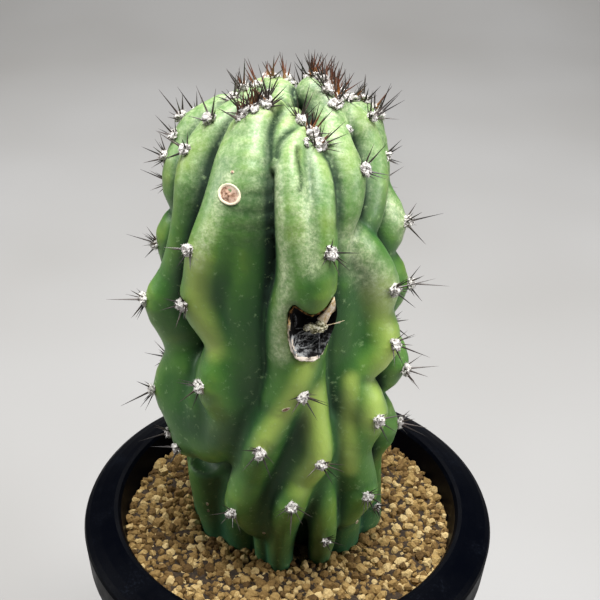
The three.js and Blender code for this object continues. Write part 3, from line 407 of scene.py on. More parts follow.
def skinDistance(points, healed=False):
    field = tubeDistance(points, corePath)
    for blend, strands in ribPaths:
        own = np.full(len(points), form["reach"])
        for inner, outer in strands:
            strand = smoothMin(tubeDistance(points, inner), tubeDistance(points, outer), form["strandBlend"])
            own = smoothMin(own, strand, form["strandBlend"])
        field = smoothMin(field, own, blend)
    for blend, path in groovePaths:
        field = -smoothMin(-field, tubeDistance(points, path), blend)
    if not healed:
        field = openWound(points, field)
    return np.maximum(field, form["stump"] - points[:, 2])


def skinNormal(points, step=0.4):
    slopes = [skinDistance(points + step * axis) - skinDistance(points - step * axis) for axis in np.eye(3)]
    slopes = np.stack(slopes, axis=1)
    return slopes / np.maximum(np.linalg.norm(slopes, axis=1, keepdims=True), 1e-9)


def evenOut(values, faces, steps, share):  # moves each value towards the mean of those next to it
    mean, links = np.zeros_like(values), np.zeros(len(values))
    for k in range(4):
        for step in steps:
            np.add.at(mean, faces[:, k], values[faces[:, (k + step) % 4]])
            np.add.at(links, faces[:, k], 1)
    return (1 - share) * values + share * (mean.T / links).T


def skinMesh():  # one point in each cell that the skin crosses, one face for each edge that it cuts
    cell, coarse = form["cell"], form["coarse"]
    low = np.array([*form["low"], form["stump"] - 3.5 * cell])
    count = np.ceil((np.array(form["high"]) - low) / cell).astype(int) + 1
    axes = [low[k] + cell * coarse * np.arange(count[k] // coarse + 2) for k in range(3)]
    rough = skinDistance(np.stack(np.meshgrid(*axes, indexing="ij"), -1).reshape(-1, 3))
    rough = rough.reshape([len(a) for a in axes])
    spots = [np.round(np.arange(n) / coarse).astype(int) for n in count]
    field = rough[np.ix_(*spots)].astype(np.float64)
    close = np.argwhere(np.abs(field) < cell * coarse * 0.87 + 1.2)
    field[tuple(close.T)] = skinDistance(low + cell * close)

    inside = field < 0
    shifts = [(i, j, k) for i in (0, 1) for j in (0, 1) for k in (0, 1)]
    held = sum(inside[tuple(slice(s, n - 1 + s) for s, n in zip(shift, count))].astype(int) for shift in shifts)
    cells = np.argwhere((held > 0) & (held < 8))
    number = np.full(count - 1, -1)
    number[tuple(cells.T)] = np.arange(len(cells))
    total, crossings = np.zeros((len(cells), 3)), np.zeros(len(cells))
    faces = []
    ways = np.eye(3, dtype=int)
    for axis in range(3):
        step, b, c = (ways[(axis + k) % 3] for k in range(3))
        for shift in (0 * b, b, c, b + c):
            start = cells + shift
            f0, f1 = field[tuple(start.T)], field[tuple((start + step).T)]
            cut = np.flatnonzero((f0 < 0) != (f1 < 0))
            total[cut] += start[cut] + step * (f0[cut] / (f0[cut] - f1[cut]))[:, None]
            crossings[cut] += 1
        first = inside[tuple(map(slice, count - step))]
        second = inside[tuple(slice(step[k], count[k]) for k in range(3))]
        edges = np.argwhere(first != second)
        within = np.all((edges[:, None] - (b + c) >= 0), axis=(1, 2)) & np.all(edges < count - 1, axis=1)
        edges = edges[within]
        quad = np.stack([number[tuple((edges - s).T)] for s in (b + c, c, 0 * b, b)], axis=1)
        flip = second[tuple(edges.T)]
        quad[flip] = quad[flip][:, ::-1]
        faces.append(quad)
    points = low + cell * total / crossings[:, None]
    faces = np.vstack(faces)
    faces = faces[np.all(faces >= 0, axis=1)]

    for _ in range(2):  # evens the net out, then puts it back on the skin
        points = evenOut(points, faces, (1, 3), 0.6)
        points = points - skinNormal(points) * skinDistance(points)[:, None]
    return points, faces


camera = {
    "place": (0.0019, -0.3122, 0.4030),
    "down": 31.11,             # degrees below the horizon
    "roll": 1.86,
    "lens": 66.0,
}

lens = bpy.data.cameras.new("camera")
lens.lens = camera["lens"]
lens.sensor_width = 36
lens.clip_start = 0.01
eye = bpy.data.objects.new("camera", lens)
eye.matrix_world = (
    Matrix.Translation(camera["place"])
    @ Matrix.Rotation(math.radians(90 - camera["down"]), 4, "X")
    @ Matrix.Rotation(math.radians(camera["roll"]), 4, "Z")
)
scene.collection.objects.link(eye)
scene.camera = eye

skin = {
    # deepColour to ribColour follow random patches and how convex the skin is, which paints light on crests and
    # shade in creases
    "ribColour": "#8aa63c", "midColour": "#568533", "fleshColour": "#3d6e28", "deepColour": "#31602a",
    # the groove colour is painted shade, mixed in where the skin is shut in
    "grooveShadeColour": "#10261a", "bloomColour": "#c6d2a6", "footColour": "#2e6650", "fleckColour": "#a9c68c",
    "patches": 18.0, "mottle": 2.2, "powder": 0.8, "grain": 0.9,   # mm, sizes of its patterns
    "foot": (32.0, 2.0, 0.7),         # heights between which the foot's colour comes on, and its share
    "bloom": (128.0, 166.0, 0.78),    # the same for the wax
    # the tints are painted: shaded is painted shade, sunny is painted sunlight, the crease tint is painted shade
    # in creases
    "tints": (("shaded", "#1d4a1f", 0.75), ("sunny", "#afc45f", 0.75), ("crease", "#0d1f12", 0.85)),
    "roughness": 0.42, "coat": 0.12,
}

# Where the skin is powdered with wax, painted sunlit yellow-green, painted shaded deep green or painted dark in
# the creases
# between lobes: how far the tint reaches in mm, and a path of azimuth, height and radius.
paint = {
    "bloom": [
        (5.5, [(4.3, 153, 27), (4.4, 146, 33), (4.8, 136, 37.6), (5, 121, 41), (3, 106, 40.4), (2, 98, 41)]),
        (7, [(16, 152, 32), (15, 140, 39.6), (16, 130, 43)]),
        (9, [(42, 133, 35.4), (45.4, 123, 37.5), (53, 115.4, 40.5), (60, 110, 43)]),
        (8, [(84, 132, 36.5), (85, 129, 39), (87, 122, 42)]),
        (5, [(-25, 150, 29), (-28.4, 138, 35.7), (-33.5, 126, 40.6)]),
    ],
    "sunny": [
        (8, [(17.9, 81.7, 40.1), (18.3, 73.5, 41.7), (17.6, 65.4, 43.9), (16.8, 60, 44.6), (9, 47, 44)]),
        (5.5, [(14, 96, 42.5), (6, 83, 43), (-1.2, 74, 43.2), (-7, 66, 44.6)]),
        (4.5, [(37, 83, 38.6), (35, 64, 39), (34, 48, 40)]),
        (7, [(-33.5, 126, 40.6), (-35, 113, 41.3), (-30, 96, 40)]),
        (9, [(53, 112, 41), (57, 92, 43.5), (44, 69, 44)]),
    ],
    "shaded": [
        (10, [(-4, 147, 30), (-5, 130, 32.6), (-6, 114, 34.4), (-8.6, 97, 36.3), (-11, 78, 37.3),
             (-16, 67, 39.3)]),
        (8, [(-53, 147, 25), (-51, 136, 31), (-53, 122, 34), (-56, 105, 35), (-55, 90, 36)]),
        (12, [(-50, 62, 41), (-38, 60, 41), (-24, 64, 40), (-16.3, 70.5, 38.5)]),
        (9, [(-46, 45, 40), (-55, 38, 36), (-48, 25, 34), (-50, 8, 34)]),
        (9, [(34, 110, 34), (35, 95, 36), (31, 75, 36), (28, 55, 36)]),
        (8, [(62, 152, 32), (66, 140, 33), (64, 128, 33)]),
        (7, [(9.7, 73, 40.3), (4.9, 65, 39.6), (-0.5, 52, 39), (-5.2, 39, 38.7)]),
    ],
    # painted shade along the creases between the crown's lobes
    "crease": [
        (2.6, [(22.1, 165.7, 8.9), (13.3, 164.1, 10.8), (5.7, 161.9, 13.1), (2.1, 159.7, 15.3),
             (1.4, 157.3, 19.3), (2, 154.6, 23.8)]),
        (2.2, [(5.5, 155.3, 24.1), (6.2, 157.2, 21.3), (9.4, 158.9, 19.4), (15.6, 160.1, 18.2),
             (24.2, 160.9, 17.6)]),
        (2.2, [(51.2, 163.6, 11.4), (48.7, 160.7, 13)]),
        (1.6, [(20.5, 158.3, 24), (18.5, 157.3, 25.7), (17.5, 155.5, 28.1), (17.4, 152.7, 30.8),
             (15.2, 149.6, 34)]),
        (3, [(36.3, 156.6, 24.9), (38.1, 153.6, 27.5), (37.5, 149.1, 30.6), (33.2, 145.1, 35),
             (30.7, 138.7, 37.8)]),
    ],
}


def nearness(points, paths):  # 1 on a path, fading to 0 where its tint ends
    result = np.zeros(len(points))
    for reach, rows in paths:
        path = placedPath([(*row, 0.0) for row in rows], 4.0)
        share = np.clip(1 - tubeDistance(points, path) / reach, 0, 1)
        result = np.maximum(result, share * share * (3 - 2 * share))
    return result


def skinMaterial():
    # Epidermis of a cactus: grown, waxy, satin, with a whitish bloom on young growth.
    material, tree, shader, spot = startMaterial(
        "waxyCactusSkin", IOR=1.45, Subsurface_Weight=0.06, Subsurface_Scale=0.0015,
        Subsurface_Radius=(0.5, 1.0, 0.25), Coat_Roughness=0.3)
    seen = {name: addNode(tree, "ShaderNodeAttribute", attribute_name=name).outputs["Fac"]
            for name in ("hollow", "ridge", "torn", *paint)}
    patches, mottle, powder, grain = (
        addNode(tree, "ShaderNodeTexNoise", {
            "Vector": spot, "Scale": 1000 / skin[name], "Detail": detail, "Roughness": roughness})
        for name, detail, roughness in (
            ("patches", 3.0, 0.5), ("mottle", 4.0, 0.65), ("powder", 3.0, 0.7), ("grain", 3.0, 0.5)))
    # the green follows random patches and how convex the skin is: paler on crests and deeper in creases, partly
    # a painted light and shade
    level = addNode(tree, "ShaderNodeMath", {0: patches, 1: 0.7}, operation="MULTIPLY")
    level = addNode(tree, "ShaderNodeMath", {0: seen["ridge"], 1: 0.3, 2: level}, operation="MULTIPLY_ADD")
    green = addNode(tree, "ShaderNodeValToRGB", {"Fac": level}, [
        (0.3, skin["deepColour"]), (0.48, skin["fleshColour"]), (0.62, skin["midColour"]),
        (0.85, skin["ribColour"])])

    # painted shade in hollows, from how shut in each point is, lifted where the wax or the painted sunlight lies
    dark = addNode(tree, "ShaderNodeMapRange", {
        "Value": seen["hollow"], "From Min": 0.1, "From Max": 0.85, "To Max": 0.93})
    lit = addNode(tree, "ShaderNodeMath", {0: seen["bloom"], 1: seen["sunny"]}, operation="MAXIMUM")
    lit = addNode(tree, "ShaderNodeMapRange", {"Value": lit, "To Min": 1.0, "To Max": 0.25})
    dark = addNode(tree, "ShaderNodeMath", {0: dark, 1: lit}, operation="MULTIPLY")
    height = addNode(tree, "ShaderNodeSeparateXYZ", {"Vector": spot}).outputs["Z"]
    low, high = (
        addNode(tree, "ShaderNodeMapRange", {
            "Value": height, "From Min": (soilLevel + start) * metres, "From Max": (soilLevel + end) * metres,
            "To Max": most})
        for start, end, most in (skin["foot"], skin["bloom"]))

    # the wax is flecked and powdery, and where the painted shade of hollows and creases lies there is neither
    # wax nor gloss
    wax = addNode(tree, "ShaderNodeMapRange", {
        "Value": mottle, "From Min": 0.36, "From Max": 0.62, "To Min": 0.35})
    most = addNode(tree, "ShaderNodeMath", {0: high, 1: seen["bloom"]}, operation="MAXIMUM")
    powder = addNode(tree, "ShaderNodeMapRange", {
        "Value": powder, "From Min": 0.4, "From Max": 0.58, "To Min": 0.55})
    bare, smooth = (
        addNode(tree, "ShaderNodeMath", {0: 1.0, 1: share}, operation="SUBTRACT")
        for share in (dark, seen["crease"]))
    gloss = addNode(tree, "ShaderNodeMath", {0: bare, 1: smooth}, operation="MULTIPLY")
    for factor in (most, 0.9, powder, gloss):
        wax = addNode(tree, "ShaderNodeMath", {0: wax, 1: factor}, operation="MULTIPLY")
    coat = addNode(tree, "ShaderNodeMath", {0: gloss, 1: skin["coat"]}, operation="MULTIPLY")
    link(coat, shader.inputs["Coat Weight"])
    rough = addNode(tree, "ShaderNodeMapRange", {"Value": gloss, "To Min": 0.95, "To Max": skin["roughness"]})
    link(rough, shader.inputs["Roughness"])

    fleck = addNode(tree, "ShaderNodeMapRange", {
        "Value": mottle, "From Min": 0.60, "From Max": 0.78, "To Max": 0.55})
    rotten = addNode(tree, "ShaderNodeValToRGB", {"Fac": mottle}, [(0.45, "#09080a"), (0.65, "#4d4850")])
    layers = [
        (addNode(tree, "ShaderNodeMath", {0: seen[name], 1: share}, operation="MULTIPLY"), linear(colour))
        for name, colour, share in skin["tints"]]
    # the groove colour below is painted shade in hollows
    layers += [
        (dark, linear(skin["grooveShadeColour"])), (low, linear(skin["footColour"])),
        (wax, linear(skin["bloomColour"])), (fleck, linear(skin["fleckColour"])), (seen["torn"], rotten)]
    for share, colour in layers:
        green = addNode(tree, "ShaderNodeMix", {"Factor": share, "A": green, "B": colour}, data_type="RGBA")
    finishMaterial(shader, green, (0.25, 0.3, grain), (0.3, 0.6, mottle))
    return material


def makeSkin():
    points, faces = skinMesh()
    normals = skinNormal(points)
    # how shut in each point is, which paints shade into the hollows of the skin's colour
    room = [np.clip(skinDistance(points + d * normals) / d, 0, 1) for d in (2.5, 5.5, 9.0)]
    # how convex the skin is, evened out; it paints light on crests and shade in creases into the skin's colour
    near = 2.5                 # mm, the width of a ridge
    around = sum(skinDistance(points + side * near * axis) for axis in np.eye(3) for side in (-1, 1))
    ridge = np.clip(0.4 + 3.0 * around / near ** 2, 0, 1)
    for _ in range(3):
        ridge = evenOut(ridge, faces, (1,), 0.5)
    torn = np.clip((skinDistance(points) - skinDistance(points, True) - 0.6) / 0.8, 0, 1)
    looks = {"hollow": 1 - np.mean(room, axis=0), "ridge": ridge, "torn": torn}
    looks.update({name: nearness(points, paths) for name, paths in paint.items()})
    net = BVHTree.FromPolygons(points.tolist(), faces.tolist())
    points[:, 2] += soilLevel
    piece = newPiece("cactusSkin", points, faces.tolist(), skinMaterial(), looks)
    print("cactusSkin", len(faces), "faces")
    return piece, net


# Azimuth, height, radius of the wool, then the long spines as lean to the side, lean
# upwards and length. Wool and spines sit on the skin where the azimuth and height meet it.
areoles = [
    (-100, 155, 2.1, [(0.1, 0.15, 11), (0.5, 0.8, 8), (-0.4, 0.9, 7)]),
    (-91, 150.7, 1.9, [(0.2, 0.3, 9), (-0.3, -0.5, 6)]),
    (-85.5, 145, 1.9, [(0.2, 0.1, 8), (-0.2, -0.9, 7), (0.5, 0.5, 6)]),
    (-85, 115, 1.8, [(0, 0.35, 10), (0.1, -1.1, 6), (0.4, 0.9, 5)]),
    (-94, 92, 1.9, [(0.1, 0.1, 7), (0, -0.9, 6)]), (-95, 66, 1.9, [(0.1, 0.2, 8), (0, -0.8, 6)]),
    (-73, 159, 2.2, [(-0.9, 0.3, 11), (0.2, 0.9, 10), (0.9, -0.6, 6)]),
    (-68, 151, 2.1, [(-0.8, -0.1, 10), (0.3, -1, 7), (0.6, 0.6, 6)]),
    (-70, 101, 2.1, [(-0.2, 0.05, 12), (0.1, 0.9, 6), (0.2, -1, 7)]),
    (-69, 66.5, 2.1, [(-0.1, -0.45, 12), (0.1, 0.8, 7), (0.3, -0.9, 7)]),
    (-64, 50.5, 1.9, [(-0.3, -0.3, 11), (-0.2, 0.7, 6)]), (-56, 48, 2, [(-0.8, -0.1, 9), (0.5, -0.7, 7)]),
    (-34.5, 163.8, 1.8, [(-0.9, 0.2, 8), (-0.6, -0.2, 9), (0.2, 0.6, 8)]),
    (-22, 165, 1.8, [(-0.3, 0.4, 9), (0.3, 0.5, 9)]), (-4, 165.8, 1.8, [(0.1, 0.6, 10), (0.8, 0.1, 9)]),
    (-38, 128.3, 2.2, [(1, 0.7, 8), (-1, 0.05, 7), (1, -0.6, 8), (-0.2, -1.1, 6)]),
    (-41.5, 109.5, 2.2, [(1, 0.6, 7), (-0.9, -0.4, 7), (0.3, -1.1, 7), (-0.7, 0.5, 6)]),
    (-34, 82.3, 2.2, [(1, 0.4, 7), (-0.7, -0.8, 8), (0.1, -1.1, 7), (-1, 0.4, 7)]),
    (41, 161.5, 2, [(0.3, 0.5, 11), (0.5, 0.4, 9), (-0.8, 0.5, 8)]),
    (38, 160, 2.2, [(0.3, 0.6, 9), (-0.4, 0.7, 9), (0.9, 0.3, 9)]),
    (39, 157, 2.4, [(1, 0.3, 10), (1, -0.2, 9), (0.2, 0.9, 7)]),
    (24.5, 132.5, 2.2, [(-0.7, 0.9, 7), (1, 0.1, 8), (0.7, -0.9, 7)]),
    (11, 84, 2.2, [(1, 0.05, 9), (0.6, -0.9, 8), (-0.8, -0.4, 7)]),
    (-7.6, 64, 2.1, [(-0.8, 0.7, 8), (0.7, -0.8, 9), (-0.8, -0.7, 8), (0.9, 0.1, 6)]),
    (-24, 32.7, 2, [(-0.5, -0.6, 5), (0.5, -0.5, 5)]),
    (17, 58.4, 2.1, [(0.9, 0.1, 8), (0.5, 0.9, 6), (0.5, -0.9, 7), (-0.9, 0.3, 5)]),
    (4.3, 40.7, 2.1, [(-0.1, -0.9, 9), (1, 0.1, 8), (-1, 0.05, 7)]),
    (59, 111.5, 2.3, [(0.7, 0.35, 13), (0.1, 0.9, 8), (0.4, -0.8, 9)]),
    (57.5, 92.5, 2.2, [(0.8, -0.6, 13), (0.5, 0.7, 7), (-0.4, -0.9, 7)]),
    (45, 68, 2.2, [(0.9, 0.4, 10), (0, -1, 8), (0.7, -0.7, 7)]),
    (42, 36, 2, [(0, -1, 8), (0.6, -0.5, 7), (-0.8, -0.3, 6)]), (21, 19, 1.7, [(0.1, -0.3, 5)]),
    (56, 150, 2.3, [(0.8, 0.5, 10), (0.4, 0.9, 8), (0.5, -0.8, 8), (-0.2, -0.7, 6)]),
    (114, 169.3, 1.8, [(-0.2, 0.7, 11), (0.3, 0.5, 9)]), (104, 168.6, 1.8, [(0.2, 0.6, 10), (-0.5, 0.5, 8)]),
    (90, 167.6, 1.9, [(-0.3, 0.8, 9), (0.6, 0.4, 10)]), (79, 165.6, 1.9, [(0.6, 0.4, 9), (0.7, 0, 9)]),
    (92, 158.5, 2, [(0.5, -0.3, 13), (0.5, -0.6, 12), (0.2, 0.7, 8)]),
    (97, 163.5, 1.8, [(0.3, 0.5, 9), (0.7, 0.2, 8)]), (117, 159, 1.9, [(0.1, 0.6, 8), (0.6, 0.2, 8)]),
    (108, 155.5, 2.1, [(-0.1, 0.5, 11), (0.3, -0.2, 10), (-0.4, 0.8, 7)]),
    (92, 146, 1.8, [(0, 0.4, 7), (0.1, 0.1, 6)]),
    (87, 125, 2.2, [(-0.1, 0.3, 12), (-0.5, 0.9, 7), (-0.6, -0.9, 9)]),
    (86, 103, 2.1, [(-0.1, 0.05, 13), (-0.3, 0.8, 6), (-0.4, -1, 7)]),
    (82, 89, 1.8, [(-0.1, -0.7, 8), (-0.2, 0.4, 6)]),
    (73, 75.5, 2.1, [(0.2, 0.2, 11), (0.2, -0.3, 8), (-0.3, -0.9, 8)]),
    (74, 52, 2, [(0.1, -0.4, 11), (0.3, -0.2, 10), (0, 0.5, 6)]), (72, 13, 1.6, [(0.1, 0.2, 5)]),
    (100, 165, 1.8, [(-0.9, 0.2, 8), (-0.4, 0.6, 8)]), (-111, 161.5, 2.1, [(-0.6, 0.5, 10), (0.3, 0.8, 9)]),
    (-141, 163, 2, [(0.2, 0.8, 11), (0.8, 0.3, 9)]), (-163, 164.5, 2, [(0.4, 0.7, 12), (-0.5, 0.5, 9)]),
    (127, 169, 1.7, [(0.1, 0.8, 11), (-0.5, 0.4, 9)]), (150, 161.5, 1.9, [(0.1, 0.5, 9), (0.6, 0.3, 8)]),
    (-128, 150.5, 2, [(0.2, 0.3, 10), (-0.5, 0.6, 7)]),
    (-119, 126, 2.1, [(0.1, 0.1, 11), (0.6, 0.6, 7), (-0.5, -0.7, 7)]),
    (-123, 99, 2.1, [(0, 0.1, 12), (0.6, -0.6, 7), (-0.6, 0.6, 7)]),
    (-118, 70, 2.1, [(0.1, -0.1, 11), (0.6, 0.6, 7), (-0.6, -0.6, 7)]),
    (-124, 42, 2, [(0, 0, 9), (0.7, 0.2, 7)]), (138, 149.5, 2, [(0, 0.3, 10), (-0.5, 0.6, 7)]),
    (128, 125, 2.1, [(0, 0.2, 12), (0.6, 0.5, 7), (-0.6, -0.6, 7)]),
    (136, 98, 2.1, [(0, 0, 11), (0.6, -0.6, 7), (-0.6, 0.6, 7)]),
    (130, 71, 2.1, [(0.1, -0.2, 11), (0.6, 0.6, 7), (-0.7, -0.4, 7)]),
    (129, 43, 2, [(0, 0, 9), (-0.6, 0.4, 7)]), (171, 151.5, 2, [(0, 0.4, 10), (0.6, 0.4, 7)]),
    (165, 121, 2.1, [(0, 0.1, 12), (0.6, 0.6, 7), (-0.6, -0.6, 7)]),
    (173, 93, 2.1, [(0, -0.1, 11), (-0.6, 0.6, 7), (0.6, -0.6, 7)]),
    (168, 65, 2.1, [(0, 0.1, 11), (0.6, 0.5, 7), (-0.6, -0.5, 7)]), (173, 36, 2, [(0, 0.1, 8), (-0.6, 0.4, 6)]),
    (-162, 149.5, 2, [(0.1, 0.4, 10), (-0.6, 0.4, 7)]),
    (-154, 118, 2.1, [(0, 0.1, 12), (0.6, -0.6, 7), (-0.6, 0.6, 7)]),
    (-160, 91, 2.1, [(0, 0.1, 11), (0.6, 0.6, 7), (-0.6, -0.6, 7)]),
    (-153, 62, 2.1, [(0, -0.1, 11), (0.6, 0.5, 7), (-0.6, 0.4, 7)]),
    (-159, 34, 2, [(0, 0.1, 8), (0.6, 0.4, 6)])]


def areoleFrame(azimuth, height):  # the place on the skin, with the ways outwards, sideways and upwards
    away, hit = outward(azimuth, 0), None
    while hit is None:  # lowered where it would be above the crown
        hit = skinNet.ray_cast(Vector(placeOn(azimuth, height, 62)), Vector(-away), 59)[0]
        height -= 0.0 if hit else 0.5
    normal, side, up = frameAt(azimuth, height)
    start = np.array(hit) + 14 * normal
    hit = skinNet.ray_cast(Vector(start), Vector(-normal), 25.5)[0] or hit
    return np.array(hit), normal, side, up


def ontoSkin(points):  # moves points to the nearest skin and gives the ways outwards
    found = [skinNet.find_nearest(Vector(p)) for p in points]
    return np.array([row[0] for row in found]), np.array([row[1] for row in found])


# Woolly tufts of the growing crown, with young spines: azimuth, height, radius of the wool
# and number of spines.
crownTufts = [
    (-37.5, 162.3, 1.2, 3), (-32.6, 163.6, 1.3, 4), (-30.2, 164.8, 1.4, 6), (-22.3, 165.6, 1.3, 6),
    (-12.8, 166.1, 1.5, 5), (-0.8, 166.2, 1.4, 4), (-140, 163, 1.6, 5), (-159.7, 164, 1.7, 5),
    (123, 168.6, 1.5, 7), (164.5, 165, 1.4, 6), (153.6, 164.6, 0.9, 0), (123.3, 165.2, 0.9, 0),
    (107, 164.3, 1.2, 3), (103.5, 163.7, 0.9, 0), (118, 169.2, 1.3, 7), (114, 168.6, 1.4, 5), (99, 168, 1.3, 4),
    (92.6, 167, 1.4, 5), (90, 165.8, 1.2, 3), (83.3, 164.3, 1.4, 2), (101, 166.8, 1.2, 4), (103, 167.6, 1.3, 4),
    (118, 160, 1.5, 4), (115, 159, 1.2, 3), (113.6, 157.2, 1.5, 3), (72, 158.2, 1.2, 0), (37.4, 160.5, 1.5, 5),
    (36.5, 157.2, 1.5, 3), (28.6, 158.5, 1.0, 0), (178, 166, 1.3, 5), (-175, 163, 1.4, 4)]

wool = {
    "hairLength": 0.5, "hairRadius": 0.035, "hairsPerArea": 3.5, "hairBow": 0.6,
    "lump": 1.6, "swell": 4.0, "flat": 0.8,   # of the felt: size and height of its lumps in mm
    # the dark end of these colours falls where the felt's relief sinks, a painted shade in its gaps
    "clump": 0.8, "colours": ["#5b514b", "#7d7671", "#cfcac4", "#f1eeea"],   # dark gaps to pale tips
}
spines = {
    "thickness": 0.42, "bulb": 0.7, "sides": 6, "segments": 4,
    "short": (3.5, 7.5), "shortCount": (4, 6), "shortLean": (0.8, 1.8), "shortThick": (0.55, 0.85),
    "crown": (5.0, 10.5), "crownThick": (0.9, 1.25), "youngShare": 0.7,
    "root": 0.8,               # mm that a long spine goes on into the wool
    "horn": ["#3d3029", "#1d1614", "#120d0b"], "youngHorn": ["#a8702c", "#6f3a1e", "#24120c"],
    "scuffed": "#6d5f57",
}


def grainyMaterial(name, stops, size, detail, roughness, relief, own=None, gain=1.0, **sockets):
    # one noise gives colour and relief, and may be added to a value that the mesh has
    material, tree, shader, spot = startMaterial(name, **sockets)
    grain = level = addNode(tree, "ShaderNodeTexNoise", {
        "Vector": spot, "Scale": 1000 / size, "Detail": detail, "Roughness": roughness})
    if own:
        value = addNode(tree, "ShaderNodeAttribute", attribute_name=own).outputs["Fac"]
        level = addNode(tree, "ShaderNodeMath", {0: grain, 1: 0.5}, operation="SUBTRACT")
        level = addNode(tree, "ShaderNodeMath", {0: level, 1: gain, 2: value}, operation="MULTIPLY_ADD")
    tint = addNode(tree, "ShaderNodeValToRGB", {"Fac": level}, stops)
    finishMaterial(shader, tint, *[(*row, grain) for row in relief])
    return material


def woolMaterial():
    # Felted hair of the areoles: cotton-like, no gloss, grey; the dark of its gaps is painted shade, where the
    # same noise sinks its relief.
    return grainyMaterial(
        "areoleWool", list(zip((0.3, 0.42, 0.5, 0.7), wool["colours"])), wool["clump"], 4.0, 0.7,
        [(0.6, 0.4)], Roughness=0.95, Specular_IOR_Level=0.15, Sheen_Weight=0.5, Sheen_Roughness=0.5)


def spineMaterial(name, colours):
    # Spines are hard horn: dense, slightly glossy, darker at the tip.
    material, tree, shader, spot = startMaterial(name, Roughness=0.45, IOR=1.54)
    along, tone = (
        addNode(tree, "ShaderNodeAttribute", attribute_name=k).outputs["Fac"] for k in ("along", "tone"))
    tint = addNode(tree, "ShaderNodeValToRGB", {"Fac": along}, list(zip((0.05, 0.45, 0.9), colours)))
    scuff = addNode(tree, "ShaderNodeTexNoise", {"Vector": spot, "Scale": 1000 / 1.5, "Detail": 3.0})
    share = addNode(
        tree, "ShaderNodeMath", {0: tone, 1: scuff, 2: -0.1}, operation="MULTIPLY_ADD", use_clamp=True)
    tint = addNode(
        tree, "ShaderNodeMix", {"Factor": share, "A": tint, "B": linear(spines["scuffed"])}, data_type="RGBA")
    finishMaterial(shader, tint, (0.3, 0.1, scuff))
    return material


def spineTree(tree, given):  # awls with a swollen foot, each placed and sized by its own point
    cone = addNode(tree, "GeometryNodeMeshCone", {
        "Radius Top": 0.06, "Radius Bottom": 1.0, "Depth": 1.0, "Vertices": given["Sides"],
        "Side Segments": given["Segments"]})
    spot = addNode(tree, "GeometryNodeInputPosition")
    axes = addNode(tree, "ShaderNodeSeparateXYZ", {"Vector": spot}).outputs
    awl = addNode(tree, "GeometryNodeStoreNamedAttribute", {
        "Name": "along", "Geometry": cone, "Value": axes["Z"]}, data_type="FLOAT", domain="POINT")
    foot = addNode(tree, "ShaderNodeMapRange", {
        "Value": axes["Z"], "From Max": 0.22, "To Min": 1.0, "To Max": 0.0})
    swell = addNode(tree, "ShaderNodeMath", {0: foot, 1: given["Bulb"], 2: 1.0}, operation="MULTIPLY_ADD")
    wide, deep = (addNode(tree, "ShaderNodeMath", {0: axes[k], 1: swell}, operation="MULTIPLY") for k in "XY")
    place = addNode(tree, "ShaderNodeCombineXYZ", {"X": wide, "Y": deep, "Z": axes["Z"]})
    awl = addNode(tree, "GeometryNodeSetPosition", {"Geometry": awl, "Position": place})
    aim, length, thick = (
        addNode(tree, "GeometryNodeInputNamedAttribute", {"Name": name}, data_type=kind)
        for name, kind in (("aim", "FLOAT_VECTOR"), ("length", "FLOAT"), ("thick", "FLOAT")))
    girth = addNode(tree, "ShaderNodeMath", {0: thick, 1: given["Thickness"]}, operation="MULTIPLY")
    size = addNode(tree, "ShaderNodeCombineXYZ", {"X": girth, "Y": girth, "Z": length})
    turn = addNode(tree, "FunctionNodeAlignRotationToVector", {"Vector": aim}, axis="Z")
    placed = addNode(tree, "GeometryNodeInstanceOnPoints", {
        "Points": given["Geometry"], "Instance": awl, "Rotation": turn, "Scale": size})
    chance = addNode(tree, "FunctionNodeRandomValue", {"Seed": given["Seed"]}, data_type="FLOAT")
    return addNode(tree, "GeometryNodeStoreNamedAttribute", {
        "Name": "tone", "Geometry": placed, "Value": chance}, data_type="FLOAT", domain="INSTANCE")


def makeSpines(name, rows, material):
    roots, aims, lengths, thick = (np.array(column) for column in zip(*rows))
    source = newPiece(name + "Roots", roots + (0, 0, soilLevel), [], None, {
        "aim": aims, "length": lengths * metres, "thick": thick})
    return growPiece(name, source, spineTree, {
        "Sides": spines["sides"], "Segments": spines["segments"], "Thickness": spines["thickness"] * metres,
        "Bulb": spines["bulb"], "Seed": 5, "Material": material})


